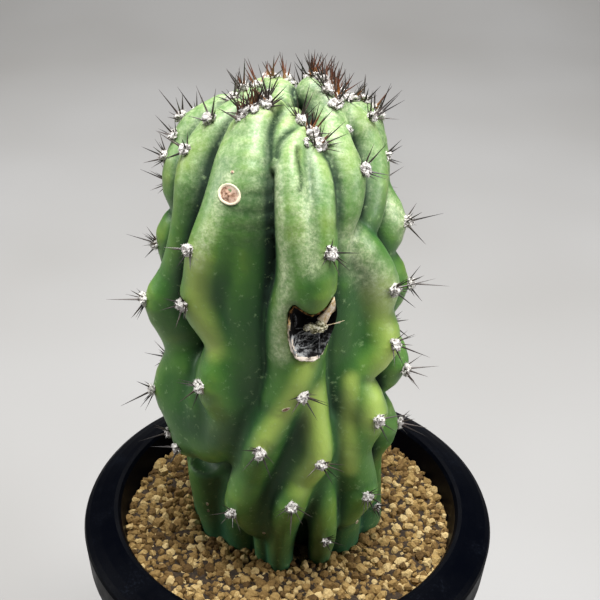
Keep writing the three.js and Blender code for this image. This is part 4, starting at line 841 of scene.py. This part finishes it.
def woolTree(tree, given):  # lumpy felt with hairs standing on it
    ball = addNode(tree, "GeometryNodeMeshIcoSphere", {"Radius": 1.0, "Subdivisions": 3})
    spot = addNode(tree, "GeometryNodeInputPosition")
    size, aim = (
        addNode(tree, "GeometryNodeInputNamedAttribute", {"Name": name}, data_type=kind)
        for name, kind in (("size", "FLOAT"), ("aim", "FLOAT_VECTOR")))
    turn = addNode(tree, "FunctionNodeAlignRotationToVector", {"Vector": aim}, axis="Z")
    flat = addNode(tree, "ShaderNodeMath", {0: size, 1: wool["flat"]}, operation="MULTIPLY")
    scale = addNode(tree, "ShaderNodeCombineXYZ", {"X": size, "Y": size, "Z": flat})
    balls = addNode(tree, "GeometryNodeInstanceOnPoints", {
        "Points": given["Geometry"], "Instance": ball, "Rotation": turn, "Scale": scale})
    felt = addNode(tree, "GeometryNodeRealizeInstances", {"Geometry": balls})
    lump = addNode(tree, "ShaderNodeTexNoise", {"Vector": spot, "Scale": 1000 / wool["lump"], "Detail": 2.0})
    swell = addNode(tree, "ShaderNodeMath", {0: lump, 1: 0.5}, operation="SUBTRACT")
    swell = addNode(tree, "ShaderNodeMath", {0: swell, 1: wool["swell"] * metres}, operation="MULTIPLY")
    facing = addNode(tree, "GeometryNodeInputNormal")
    push = addNode(tree, "ShaderNodeVectorMath", {0: facing, "Scale": swell}, operation="SCALE")
    felt = addNode(tree, "GeometryNodeSetPosition", {"Geometry": felt, "Offset": push})
    points = addNode(tree, "GeometryNodeDistributePointsOnFaces", {
        "Mesh": felt, "Density": given["Density"], "Seed": given["Seed"]}, distribute_method="RANDOM")
    line = addNode(tree, "GeometryNodeCurvePrimitiveLine", {"End": (wool["hairBow"], 0.0, 1.0)})
    line = addNode(tree, "GeometryNodeTransform", {"Geometry": line, "Scale": given["Hair length"]})
    ring = addNode(tree, "GeometryNodeCurvePrimitiveCircle", {"Resolution": 3, "Radius": given["Hair radius"]})
    hair = addNode(tree, "GeometryNodeCurveToMesh", {"Curve": line, "Profile Curve": ring, "Fill Caps": True})
    chance = addNode(tree, "FunctionNodeRandomValue", {
        0: (-1.1, -1.1, -3.1), 1: (1.1, 1.1, 3.1), "Seed": given["Seed"]}, data_type="FLOAT_VECTOR")
    tilt = addNode(tree, "FunctionNodeEulerToRotation", {"Euler": chance})
    turned = addNode(tree, "FunctionNodeRotateRotation", {
        "Rotation": points.outputs["Rotation"], "Rotate By": tilt}, rotation_space="LOCAL")
    sizes = addNode(tree, "FunctionNodeRandomValue", {2: 0.5, 3: 1.3, "Seed": given["Seed"]}, data_type="FLOAT")
    hairs = addNode(tree, "GeometryNodeInstanceOnPoints", {
        "Points": points, "Instance": hair, "Rotation": turned, "Scale": sizes})
    return addNode(tree, "GeometryNodeJoinGeometry", {"Geometry": [hairs, felt]})


def spineRow(start, aim, length, thick):  # a spine is shortened where it would pass the top of the solids
    aim = aim / np.linalg.norm(aim)
    room = cadBox[1][2] / metres - 0.4 - soilLevel - start[2]
    return start, aim, min(length, room / max(aim[2], 0.01)), thick


def makeAreoles():
    chance = np.random.default_rng(11)
    tufts, old, young = [], [], []
    deep = spines["root"]
    for azimuth, height, radius, longOnes in areoles:
        place, normal, side, up = areoleFrame(azimuth, height)
        tufts.append((place + normal * radius * 0.25, normal, radius * 0.88))
        root = place + normal * 0.4
        for sideways, upwards, length in longOnes:
            aim = normal + side * sideways + up * upwards
            old.append(spineRow(root - deep * normal, aim, length + deep, 1.0))
        for k in range(chance.integers(*spines["shortCount"], endpoint=True)):
            angle, lean = chance.uniform(0, 2 * math.pi), chance.uniform(*spines["shortLean"])
            spread = side * math.cos(angle) + up * math.sin(angle)
            start = root + spread * radius * 0.3 - 0.6 * normal
            length, thick = chance.uniform(*spines["short"]) + 0.6, chance.uniform(*spines["shortThick"])
            old.append(spineRow(start, normal + lean * spread, length, thick))
    for azimuth, height, radius, count in crownTufts:
        place, normal, side, up = areoleFrame(azimuth, height)
        tufts.append((place + normal * radius * 0.2, normal, radius))
        for k in range(count):
            aim = 0.7 * normal + chance.normal(0, 0.45, 3) + (0, 0, 0.6)
            spread = side * chance.uniform(-1, 1) + up * chance.uniform(-1, 1)
            start = place + spread * radius * 0.6 - 0.4 * normal
            rows = young if chance.uniform() < spines["youngShare"] else old
            length, thick = chance.uniform(*spines["crown"]), chance.uniform(*spines["crownThick"])
            rows.append(spineRow(start, aim, length, thick))
    places, ways, sizes = (np.array(column) for column in zip(*tufts))
    source = newPiece("tuftPlaces", places + (0, 0, soilLevel), [], None, {"aim": ways, "size": sizes * metres})
    return [
        growPiece("areoleWool", source, woolTree, {
            "Hair length": wool["hairLength"] * metres, "Hair radius": wool["hairRadius"] * metres,
            "Density": wool["hairsPerArea"] * 1e6, "Seed": 2, "Material": woolMaterial()}),
        makeSpines("spines", old, spineMaterial("spineHorn", spines["horn"])),
        makeSpines("youngSpines", young, spineMaterial("youngSpineHorn", spines["youngHorn"]))]


def noiseAt(point, size, shift=0.0):  # smooth noise from -1 to 1, size in mm
    return noise.noise(Vector(point) / size + Vector((shift, shift, shift)))


def slab(centre, rings, sink):  # closed: a middle point, rings going outwards, and an underside
    count = len(rings[0])
    points = [centre, *[p for ring in rings for p in ring], *[p + sink for p in rings[-1]], centre + 1.5 * sink]
    faces, last = [(0, 1 + k, 1 + (k + 1) % count) for k in range(count)], len(points) - 1
    for r in range(len(rings)):
        for k in range(count):
            j, a, b = (k + 1) % count, 1 + r * count, 1 + (r + 1) * count
            faces.append((a + k, b + k, b + j, a + j))
    faces += [(last, last - count + (k + 1) % count, last - count + k) for k in range(count)]
    return points, faces


def strand(path, radii, facing, sides=8, ring=False):  # a closed tube along a path, or a ring
    path = np.asarray(path, float)
    ways = np.roll(path, -1, 0) - np.roll(path, 1, 0) if ring else np.gradient(path, axis=0)
    points, faces, count = [], [], len(path)
    for p, way, radius in zip(path, ways, radii):
        out = np.cross(way, facing)
        out /= np.linalg.norm(out)
        over = np.cross(out, way)
        over /= np.linalg.norm(over)
        for a in 2 * np.pi * np.arange(sides) / sides:
            points.append(p + radius * (out * math.cos(a) + over * math.sin(a)))
    for k in range(count if ring else count - 1):
        for s in range(sides):
            a, b = k * sides, (k + 1) % count * sides
            faces.append((a + s, a + (s + 1) % sides, b + (s + 1) % sides, b + s))
    if not ring:
        faces.append(tuple(range(sides))[::-1])
        faces.append(tuple((count - 1) * sides + s for s in range(sides)))
    return points, faces


def joinShapes(name, shapes, material, along):  # one mesh out of closed shapes, with a value for each corner
    points, faces = [], []
    for own, polygons in shapes:
        faces += [tuple(i + len(points) for i in polygon) for polygon in polygons]
        points += list(own)
    points = np.array(points) + (0, 0, soilLevel)
    return newPiece(name, points, faces, material, {"along": np.broadcast_to(along, len(points))})


scars = [  # azimuth, height, half width, half height, turn in degrees, height of the rim
    (-21.8, 145.8, 4.0, 3.1, -16, 0.5), (-22.3, 151.4, 0.6, 0.5, 0, 0.3), (-56.5, 18.5, 0.8, 0.7, 0, 0.3),
    (-57, 15, 0.7, 0.6, 0, 0.3), (48, 16, 0.8, 0.8, 0, 0.3), (3.6, 79.6, 1.5, 0.6, 25, 0.25),
    (-12, 20, 0.6, 0.6, 0, 0.3)]
cork = {  # size of the grain in mm, then colours by how high or fresh the cork is
    "woundCork": (1.7, [
        (0.24, "#3f2a1e"), (0.34, "#8a6a55"), (0.44, "#bf9f8a"), (0.6, "#d3bba6"), (0.8, "#e6dabd")]),
    "callus": (0.9, [
        (0.02, "#33241a"), (0.16, "#7a4f22"), (0.3, "#b99256"), (0.45, "#d6c29c"), (0.62, "#e9dccd")]),
    "driedFibre": (0.6, [(0.25, "#060505"), (0.42, "#2b2a2b"), (0.58, "#737577"), (0.8, "#c4c6c5")]),
    "deadHusk": (0.7, [(0.36, "#201d12"), (0.42, "#77734e"), (0.5, "#c4be9b"), (0.6, "#f0ecd9")]),
}


def corkMaterial(name):
    # Cork that the plant grew over an old wound: dry, matt and cracked.
    size, stops = cork[name]
    return grainyMaterial(
        name, stops, size, 4.0, 0.6, [(0.6, 0.3)], "along", Roughness=0.9, Specular_IOR_Level=0.2)


def makeScars():  # discs on the skin, their middle uneven and their rim raised
    shapes, along = [], []
    angles = 2 * np.pi * np.arange(40) / 40
    for number, (azimuth, height, wide, tall, turn, rim) in enumerate(scars):
        place, normal, side, up = areoleFrame(azimuth, height)
        turn, rings = math.radians(turn), []
        along.append(0.42)
        for t in np.linspace(0.1, 1, 10):
            ring = []
            for a in angles:
                uneven = 1 + 0.07 * noiseAt((math.cos(a), math.sin(a), 7.0 * number), 0.8)
                u, v = wide * t * uneven * math.cos(a), tall * t * uneven * math.sin(a)
                ring.append(
                    place + side * (u * math.cos(turn) - v * math.sin(turn))
                    + up * (u * math.sin(turn) + v * math.cos(turn)))
            ring, ways = ontoSkin(ring)
            for k in range(len(ring)):
                lift = rim * math.exp(-((t - 0.9) / 0.07) ** 2) - 0.25 * t ** 8
                lift += (1 - t) * (0.25 + 0.45 * noiseAt(ring[k], 1.6))
                ring[k] += ways[k] * lift
            rings.append(ring)
            along += [0.42 - 0.14 * math.cos(a - 3.6) * t if t < 0.78 else 0.9 for a in angles]
        shapes.append(slab(place + normal * 0.3, rings, -1.0 * normal))
        along += [0.9] * (len(angles) + 1)
    return joinShapes("corkScars", shapes, corkMaterial("woundCork"), along)


# What hangs in and round the wound. Places are sideways, upwards and outwards from its centre.
woundThreads = [  # start, end, bow and radius
    ((3.3, 0.2, -1.4), (3.5, -8.4, -0.4), (0.2, 0, 0.3), 0.3),
    ((3.4, -2.4, -1.1), (6.2, -1.6, -1.4), (0, 0.3, 0), 0.16),
    ((0.4, -3.6, -1.8), (3.4, -2.4, -1.3), (0, 0.5, 0.2), 0.18),
    ((-4.6, 0.4, -2.4), (1.0, -0.2, -2.4), (0, 0.5, 0.3), 0.14),
    ((-4.4, 6.6, -1.8), (-3.7, 1.2, -2.2), (0.3, 0, 0.6), 0.42),
    ((-3.0, -6.0, -1.6), (2.2, -4.8, -1.6), (0, -0.5, 0.3), 0.2),
    ((0.2, -6.2, -1.4), (5.0, -3.6, -1.6), (0.2, -0.3, 0.2), 0.22),
    ((-4.8, -2.2, -1.8), (-1.2, -4.4, -2.4), (0, 0.3, 0.2), 0.16)]
flapHairs = [
    ((4.6, 1.8, 0.2), (10.7, 3.9, 1.2), (0, 0.2, 0.2), 0.07),
    ((5.0, 2.3, 0.2), (9.6, 3.0, 0.8), (0, 0.1, 0.2), 0.07)]
tornFlaps = [
    [(7.3, 12.1, 0.9), (8.6, 6.4, -1.0), (6.6, 5.7, -0.2), (4.5, 7.0, 0.9), (5.7, 9.4, 1.4)],
    [(5.9, 8.2, 0.8), (6.9, 6.0, 0), (5.6, 2.4, -0.2), (3.7, 2.7, 0.1), (2.6, 4.6, 0.2), (3.7, 6.4, 0.8)]]
woundStub = [  # place and half size of its lumps
    ((1.0, 1.9, -0.4), (1.9, 1.1, 1.1)), ((2.9, 1.4, -0.1), (1.8, 1.4, 1.2)),
    ((-0.3, 1.2, -0.7), (1.2, 0.8, 0.8)), ((4.7, 1.4, -0.3), (1.3, 1.0, 0.9)),
    ((2.2, -0.2, -0.9), (1.4, 0.7, 0.8)), ((4.0, -0.2, -0.9), (1.1, 0.7, 0.7)),
    ((3.5, 3.0, 0.0), (1.3, 1.1, 0.9))]
fibres = {
    "count": 34, "sideways": (-4.8, 3.5), "upwards": (-8.2, -0.5), "lift": (-2.4, -1.3),
    "lean": (24, 16), "length": (1.6, 4.2), "radius": (0.06, 0.15), "tone": (0.3, 0.75),
}


def makeLip(edge, heights, normal, side):  # raised callus: broad and pale below, thin and brown above
    above = np.clip((heights - 4.5) / 2, 0, 1)  # hidden under the rounded edge above the hole
    low = np.clip(0.5 - heights / 12, 0, 1)
    girth, sides = 0.26 + 0.3 * low, 10
    path = edge - (1.3 * above)[:, None] * normal + 0.1 * normal
    points, faces = strand(path, girth, normal, sides, ring=True)
    points = [p + g * (2.2 * noiseAt(p, 0.8) * normal + 1.9 * noiseAt(p, 0.7, 5.0) * side)
              for p, g in zip(points, np.repeat(girth, sides))]
    shade = np.repeat(0.38 + 0.3 * low - 0.25 * above, sides)
    return joinShapes("woundLip", [(points, faces)], corkMaterial("callus"), shade)


def makeLining(edge, centre, normal, side, up):  # a bowl of dried fibres in the lower part
    floor = wound["floor"]
    middle = edge.mean(0) + normal * (floor + 1.1)
    rings, along = [], [0.0]
    for t in np.linspace(0.08, 1.0, 14):
        ring = []
        for p in edge:
            q = middle + (p - normal * 1.1 - middle) * t
            u, v, depth = ((q - centre) @ way for way in (side, up, normal))
            bowl = floor + 1.0 - (1.0 + floor) * t ** 2.5 - 1.6 * np.clip((v + 1) / 4, 0, 1) * (1 - t ** 6)
            ridges = abs(noiseAt((u * 0.35, v * 1.7, 2.0), 1.5))
            ring.append(q + normal * (bowl - depth + 1.4 * (0.25 - ridges) * (1 - t ** 8)))
            along.append(float(np.clip(0.62 - (v + 1.0) / 3.2, 0, 1)) * (0.15 + 1.5 * ridges) + 0.1)
        rings.append(np.array(ring))
    along += [0.1] * (len(edge) + 1)
    dry = corkMaterial("driedFibre")
    return joinShapes("woundFibres", [slab(middle, rings, -0.8 * normal)], dry, along), dry


def makeWound():
    normal, side, up = frameAt(wound["azimuth"], wound["height"])
    centre = placeOn(wound["azimuth"], wound["height"], wound["radius"])
    corners, edge = wound["outline"], []
    levels = np.arange(6.0, -9.0, -0.1)
    for (ax, ay), (bx, by) in zip(corners, corners[1:] + corners[:1]):
        for t in (0, 0.33, 0.67):
            p = centre + side * (ax + (bx - ax) * t) + up * (ay + (by - ay) * t)
            hit = np.flatnonzero(skinDistance(p + levels[:, None] * normal, True) < 0)
            edge.append(p + normal * max(levels[hit[0]] if len(hit) else -9.0, wound["floor"] + 0.5))
    edge = np.array(edge)
    for _ in range(2):
        edge = 0.5 * edge + 0.25 * (np.roll(edge, 1, 0) + np.roll(edge, -1, 0))
    lip = makeLip(edge, (edge - centre) @ up, normal, side)
    liner, dry = makeLining(edge, centre, normal, side, up)

    def at(u, v, w):
        return centre + side * u + up * v + normal * w

    def thread(start, end, bow, radius):
        a, b = at(*start), at(*end)
        bow = side * bow[0] + up * bow[1] + normal * bow[2]
        path = [a + (b - a) * t + bow * math.sin(math.pi * t) for t in np.linspace(0, 1, 7)]
        return strand(path, radius * np.array([0.7, 1, 1.1, 0.9, 1.1, 0.9, 0.4]), normal, 6)

    chance = np.random.default_rng(6)
    threads = [thread(*row) for row in woundThreads]
    for _ in range(fibres["count"]):
        u, v = chance.uniform(*fibres["sideways"]), chance.uniform(*fibres["upwards"])
        angle, length = math.radians(chance.normal(*fibres["lean"])), chance.uniform(*fibres["length"])
        lift = chance.uniform(*fibres["lift"])
        end = (u + length * math.cos(angle), v + length * math.sin(angle), lift + chance.uniform(-0.3, 0.3))
        threads.append(thread((u, v, lift), end, chance.normal(0, 0.25, 3), chance.uniform(*fibres["radius"])))
    tone = np.concatenate([np.full(len(points), chance.uniform(*fibres["tone"])) for points, _ in threads])
    loose = joinShapes("looseFibres", threads, dry, tone)

    flaps = []
    for corners in tornFlaps:
        ring = [at(*p) for p in corners]
        heart = np.mean(ring, axis=0) + 0.3 * normal
        rings = [np.array([heart + (p - heart) * t + normal * 0.4 * noiseAt(p * t, 1.2) for p in ring])
                 for t in (0.35, 0.7, 1.0)]
        flaps.append(slab(heart, rings, -0.6 * normal))
    flaps += [thread(*row) for row in flapHairs]
    torn = joinShapes("tornTissue", flaps, lip.data.materials[0], 0.48)

    lumps = []
    for number, (place, size) in enumerate(woundStub):
        ball = bmesh.new()
        bmesh.ops.create_icosphere(ball, subdivisions=3, radius=1)
        own = []
        for corner in ball.verts:
            lump = noise.noise(corner.co * 2.2 + Vector((number, 0, 0)))
            p = corner.co * (1 + 0.35 * lump + 0.15 * noise.noise(corner.co * 6))
            own.append(at(*(place[k] + p[k] * size[k] for k in range(3))))
        lumps.append((own, [tuple(corner.index for corner in face.verts) for face in ball.faces]))
        ball.free()
    stub = joinShapes("brokenStub", lumps, corkMaterial("deadHusk"), 0.5)
    return [lip, liner, loose, torn, stub]


gravel = {
    # closest distance, lowest and highest middle, smallest and largest half width
    "layers": [(2.3, -1.6, -0.6, 1.4, 2.0), (2.0, -0.3, 0.5, 1.0, 1.85), (2.8, 0.5, 1.3, 0.9, 2.2)],
    "variants": 6, "edge": 59.2, "mostPerArea": 1.5, "squash": (1.12, 0.95, 0.78), "speck": 0.7,
    "colours": ["#4f3b21", "#7c623a", "#9c8150", "#c6ae7c"],
}


def gravelMaterial():
    # Baked clay granules: crushed and sieved, dusty and matt, no gloss at all.
    return grainyMaterial(
        "bakedClayGravel", list(zip((0.0, 0.35, 0.7, 1.0), gravel["colours"])), gravel["speck"], 5.0, 0.7,
        [(0.7, 0.3)], "tone", 0.8, Roughness=0.92, Specular_IOR_Level=0.2)


def gravelTree(tree, given):  # layers of a few kinds of lumpy stone
    spot = addNode(tree, "GeometryNodeInputPosition")
    stones, layers = [], []
    for k in range(gravel["variants"]):
        cube = addNode(tree, "GeometryNodeMeshCube", {
            "Size": (2, 2, 2), "Vertices X": 3, "Vertices Y": 3, "Vertices Z": 3})
        ball = addNode(tree, "ShaderNodeVectorMath", {0: spot}, operation="NORMALIZE")
        bulge = addNode(tree, "ShaderNodeTexNoise", {
            "Vector": ball, "Scale": 1.1, "Detail": 1.0, "W": 3.7 * k}, noise_dimensions="4D")
        bulge = addNode(tree, "ShaderNodeMath", {0: bulge, 1: 1.7, 2: 0.15}, operation="MULTIPLY_ADD")
        stretch = addNode(tree, "ShaderNodeVectorMath", {0: ball, 1: gravel["squash"]}, operation="MULTIPLY")
        place = addNode(tree, "ShaderNodeVectorMath", {0: stretch, "Scale": bulge}, operation="SCALE")
        stone = addNode(tree, "GeometryNodeSetPosition", {"Geometry": cube, "Position": place})
        stones.append(addNode(tree, "GeometryNodeGeometryToInstance", {"Geometry": stone}))
    kinds = addNode(tree, "GeometryNodeJoinGeometry", {"Geometry": stones})
    for k, (gap, low, high, small, large) in enumerate(gravel["layers"]):
        points = addNode(tree, "GeometryNodeDistributePointsOnFaces", {
            "Mesh": given["Geometry"], "Distance Min": gap * metres, "Density Max": gravel["mostPerArea"] * 1e6,
            "Seed": 10 + k}, distribute_method="POISSON")
        lift = addNode(tree, "FunctionNodeRandomValue", {
            0: (0, 0, low * metres), 1: (0, 0, high * metres), "Seed": 20 + k}, data_type="FLOAT_VECTOR")
        points = addNode(tree, "GeometryNodeSetPosition", {"Geometry": points, "Offset": lift})
        turn = addNode(tree, "FunctionNodeRandomValue", {
            0: (-3.1, -3.1, -3.1), 1: (3.1, 3.1, 3.1), "Seed": 30 + k}, data_type="FLOAT_VECTOR")
        turn = addNode(tree, "FunctionNodeEulerToRotation", {"Euler": turn})
        size = addNode(tree, "FunctionNodeRandomValue", {
            2: small * metres, 3: large * metres, "Seed": 40 + k}, data_type="FLOAT")
        which = addNode(tree, "FunctionNodeRandomValue", {
            4: 0, 5: gravel["variants"] - 1, "Seed": 50 + k}, data_type="INT")
        layers.append(addNode(tree, "GeometryNodeInstanceOnPoints", {
            "Points": points, "Instance": kinds, "Pick Instance": True, "Instance Index": which,
            "Rotation": turn, "Scale": size}))
    grains = addNode(tree, "GeometryNodeJoinGeometry", {"Geometry": layers})
    chance = addNode(tree, "FunctionNodeRandomValue", {"Seed": given["Seed"]}, data_type="FLOAT")
    return addNode(tree, "GeometryNodeStoreNamedAttribute", {
        "Name": "tone", "Geometry": grains, "Value": chance}, data_type="FLOAT", domain="INSTANCE")


def makeGravel():
    turns = np.radians(np.arange(0, 360, 2.5))
    ways = np.stack([np.sin(turns), -np.cos(turns), 0 * turns], axis=1)
    centre, foot = placeOn(0, 0, 0), []
    for way in ways:  # the outline of the plant at the soil
        hit = skinNet.ray_cast(Vector(centre + 55 * way), Vector(-way))[0]
        foot.append(np.array(hit) + 0.5 * way)
    foot, edge = np.array(foot), ways * gravel["edge"]
    bands, count = 6, len(turns)
    points = np.vstack([foot + (edge - foot) * t for t in np.linspace(0, 1, bands + 1)]) + (0, 0, soilLevel)
    faces = [((r + 1) * count + k, (r + 1) * count + (k + 1) % count, r * count + (k + 1) % count, r * count + k)
             for r in range(bands) for k in range(count)]
    source = newPiece("gravelBed", points, faces, None)
    return growPiece("gravelGrains", source, gravelTree, {"Seed": 4, "Material": gravelMaterial()})


pot = {
    "rim": 75.0, "lip": 62.6, "height": 130.0, "base": 47.0, "wall": 1.9, "floor": 2.6, "inner": 59.75,
    "turns": 192, "drainHoles": 6, "drainRadius": 4.5, "drainCircle": 30.0, "crisp": 32,   # degrees
    "colour": "#020307", "dust": "#38404f", "clouds": 14, "scratches": 0.8,
}


def potMaterial():
    # Injection-moulded polypropylene: near black, satin, dusted and lightly scratched by use.
    material, tree, shader, spot = startMaterial("mouldedPolypropylene", IOR=1.49, Specular_IOR_Level=0.025)
    cloud, fine = (
        addNode(tree, "ShaderNodeTexNoise", {
            "Vector": spot, "Scale": 1000 / pot[name], "Detail": detail, "Roughness": roughness})
        for name, detail, roughness in (("clouds", 6.0, 0.7), ("scratches", 3.0, 0.8)))
    dusty = addNode(tree, "ShaderNodeMath", {0: cloud, 1: fine}, operation="MULTIPLY")
    share = addNode(tree, "ShaderNodeMapRange", {
        "Value": dusty, "From Min": 0.3, "From Max": 0.42, "To Max": 0.1})
    tint = addNode(tree, "ShaderNodeMix", {
        "Factor": share, "A": linear(pot["colour"]), "B": linear(pot["dust"])}, data_type="RGBA")
    rough = addNode(tree, "ShaderNodeMapRange", {
        "Value": cloud, "From Min": 0.3, "From Max": 0.7, "To Min": 0.3, "To Max": 0.55})
    link(rough, shader.inputs["Roughness"])
    finishMaterial(shader, tint, (0.12, 0.2, fine))
    return material


def potTree(tree, given):  # turns the profile round the axis, then cuts the drain holes
    profile = given["Geometry"]
    count = addNode(tree, "GeometryNodeAttributeDomainSize", {"Geometry": profile}).outputs["Point Count"]
    around = addNode(tree, "ShaderNodeMath", {0: given["Turns"], 1: 1.0}, operation="ADD")
    sheet = addNode(tree, "GeometryNodeMeshGrid", {
        "Size X": 1.0, "Size Y": 1.0, "Vertices X": count, "Vertices Y": around})
    spot = addNode(tree, "GeometryNodeInputPosition")
    place = addNode(tree, "ShaderNodeSeparateXYZ", {"Vector": spot}).outputs
    last = addNode(tree, "ShaderNodeMath", {0: count, 1: 1.0}, operation="SUBTRACT")
    number = addNode(tree, "ShaderNodeMath", {0: place["X"], 1: 0.5}, operation="ADD")
    number = addNode(tree, "ShaderNodeMath", {0: number, 1: last}, operation="MULTIPLY")
    number = addNode(tree, "ShaderNodeMath", {0: number}, operation="ROUND")
    corner = addNode(tree, "GeometryNodeSampleIndex", {
        "Geometry": profile, "Value": spot, "Index": number}, data_type="FLOAT_VECTOR", domain="POINT")
    turn = addNode(tree, "ShaderNodeMath", {0: place["Y"], 1: -2 * math.pi}, operation="MULTIPLY")
    turned = addNode(tree, "ShaderNodeVectorRotate", {"Vector": corner, "Angle": turn}, rotation_type="Z_AXIS")
    shell = addNode(tree, "GeometryNodeSetPosition", {"Geometry": sheet, "Position": turned})
    shell = addNode(tree, "GeometryNodeMergeByDistance", {"Geometry": shell, "Distance": 1e-5})
    ring = addNode(tree, "GeometryNodeMeshCircle", {"Vertices": given["Holes"], "Radius": given["Hole circle"]})
    drill = addNode(tree, "GeometryNodeMeshCylinder", {
        "Vertices": 32, "Depth": 0.012, "Radius": given["Hole radius"]})
    drills = addNode(tree, "GeometryNodeInstanceOnPoints", {"Points": ring, "Instance": drill})
    drills = addNode(tree, "GeometryNodeRealizeInstances", {"Geometry": drills})
    shell = addNode(tree, "GeometryNodeMeshBoolean", {"Mesh 1": shell, "Mesh 2": drills}, operation="DIFFERENCE")
    bend = addNode(tree, "GeometryNodeInputMeshEdgeAngle").outputs["Unsigned Angle"]
    soft = addNode(tree, "FunctionNodeCompare", {
        "A": bend, "B": given["Crisp above"]}, data_type="FLOAT", operation="LESS_THAN")
    return addNode(tree, "GeometryNodeSetShadeSmooth", {"Geometry": shell, "Shade Smooth": soft}, domain="EDGE")


def makePot():
    rim, lip, height, base, floor = (pot[name] for name in ("rim", "lip", "height", "base", "floor"))
    edge = height - 5.7
    profile = [
        (0, 0), (base - 1.6, 0), (base - 0.5, 0.4), (base, 1.4), (lip - 1.9, edge - 13), (lip - 1.2, edge - 3.2),
        (rim - 3.3, edge - 3.6), (rim - 2.2, edge - 4.6), (rim - 2.7, edge - 13), (rim - 1.8, edge - 13),
        (rim - 0.9, edge - 12.8), (rim - 0.1, edge - 2.2), (rim, edge - 0.8), (rim - 0.5, edge + 0.5),
        (rim - 2.1, edge + 1.9), (rim - 5.2, edge + 3.5), (rim - 8.8, edge + 5), (lip + 1.4, height),
        (lip, height - 0.4), (lip - 1, height - 1.6), (pot["inner"], soilLevel), (base - pot["wall"], floor),
        (0, floor)]
    source = newPiece("potProfile", [(0, -radius, z) for radius, z in profile], [], None)
    return growPiece("potShell", source, potTree, {
        "Turns": pot["turns"], "Holes": pot["drainHoles"], "Hole radius": pot["drainRadius"] * metres,
        "Hole circle": pot["drainCircle"] * metres, "Crisp above": math.radians(pot["crisp"]),
        "Material": potMaterial()})


# its colours are kept very dark to paint the shade in the gravel's gaps
soil = {"grit": 2.0, "colours": [(0.35, "#1a130c"), (0.65, "#3d2e1d")]}


def soilMaterial():
    # Potting grit under the gravel, seen only in the gaps: very dark, partly its own brown and partly painted
    # shade of the gaps.
    return grainyMaterial("gritAndGapShade", soil["colours"], soil["grit"], 5.0, 0.7, [(0.8, 0.5)], Roughness=0.95)


studio = {
    "floor": [(0.3, "#a09f9e"), (0.7, "#93918e")], "clouds": 1000 / 3,
    "world": "#ccd2da", "worldStrength": 0.06,
    "lights": [  # place, aim, size and power
        ((0.04, -0.06, 1.15), (0, 0.0, 0.2), 0.5, 21.0), ((-0.85, 0.05, 0.6), (0, 0, 0.2), 0.4, 4.5),
        ((0.85, -0.2, 0.55), (0, 0, 0.2), 0.4, 5.0), ((0.0, 1.0, 1.1), (0, 0, 0.3), 0.8, 7.5)],
}


def makeStudio():  # a painted floor that curves up into a wall, four lamps and a dim sky
    paper = grainyMaterial("paintedSweep", studio["floor"], studio["clouds"], 2.0, 0.5, [], Roughness=0.9)
    bend = [(900 + 500 * math.sin(a), 500 - 500 * math.cos(a)) for a in np.radians(np.arange(10, 91, 10))]
    shape = [(-1600, 0), (900, 0), *bend, (1400, 2000)]
    points = [(x, y, z) for y, z in shape for x in (-2000, 2000)]
    faces = [(2 * k, 2 * k + 1, 2 * k + 3, 2 * k + 2) for k in range(len(shape) - 1)]
    newPiece("studioFloor", points, faces, paper)
    scene.world = bpy.data.worlds.new("world")
    scene.world.use_nodes = True
    sky = scene.world.node_tree.nodes["Background"].inputs
    sky["Color"].default_value = linear(studio["world"])
    sky["Strength"].default_value = studio["worldStrength"]
    for k, (place, aim, size, power) in enumerate(studio["lights"]):
        lamp = bpy.data.lights.new("softbox%d" % k, "AREA")
        lamp.size = size
        lamp.energy = power
        holder = bpy.data.objects.new("softbox%d" % k, lamp)
        holder.location = place
        holder.rotation_euler = (Vector(aim) - Vector(place)).to_track_quat("-Z", "Y").to_euler()
        scene.collection.objects.link(holder)


scene.view_settings.view_transform = "Standard"
makeStudio()
print("studio ready")
skinPiece, skinNet = makeSkin()
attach(skinPiece, "root")
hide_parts("cactus")
for piece in [*makeAreoles(), makeScars(), *makeWound()]:
    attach(piece, "root")
print("areoles and wound ready")
grains = makeGravel()
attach(grains, "root")
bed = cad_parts["soil"]
bed.data.materials.clear()
bed.data.materials.append(soilMaterial())
potPiece = makePot()
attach(potPiece, "root")
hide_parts("pot")
print("pot ready")
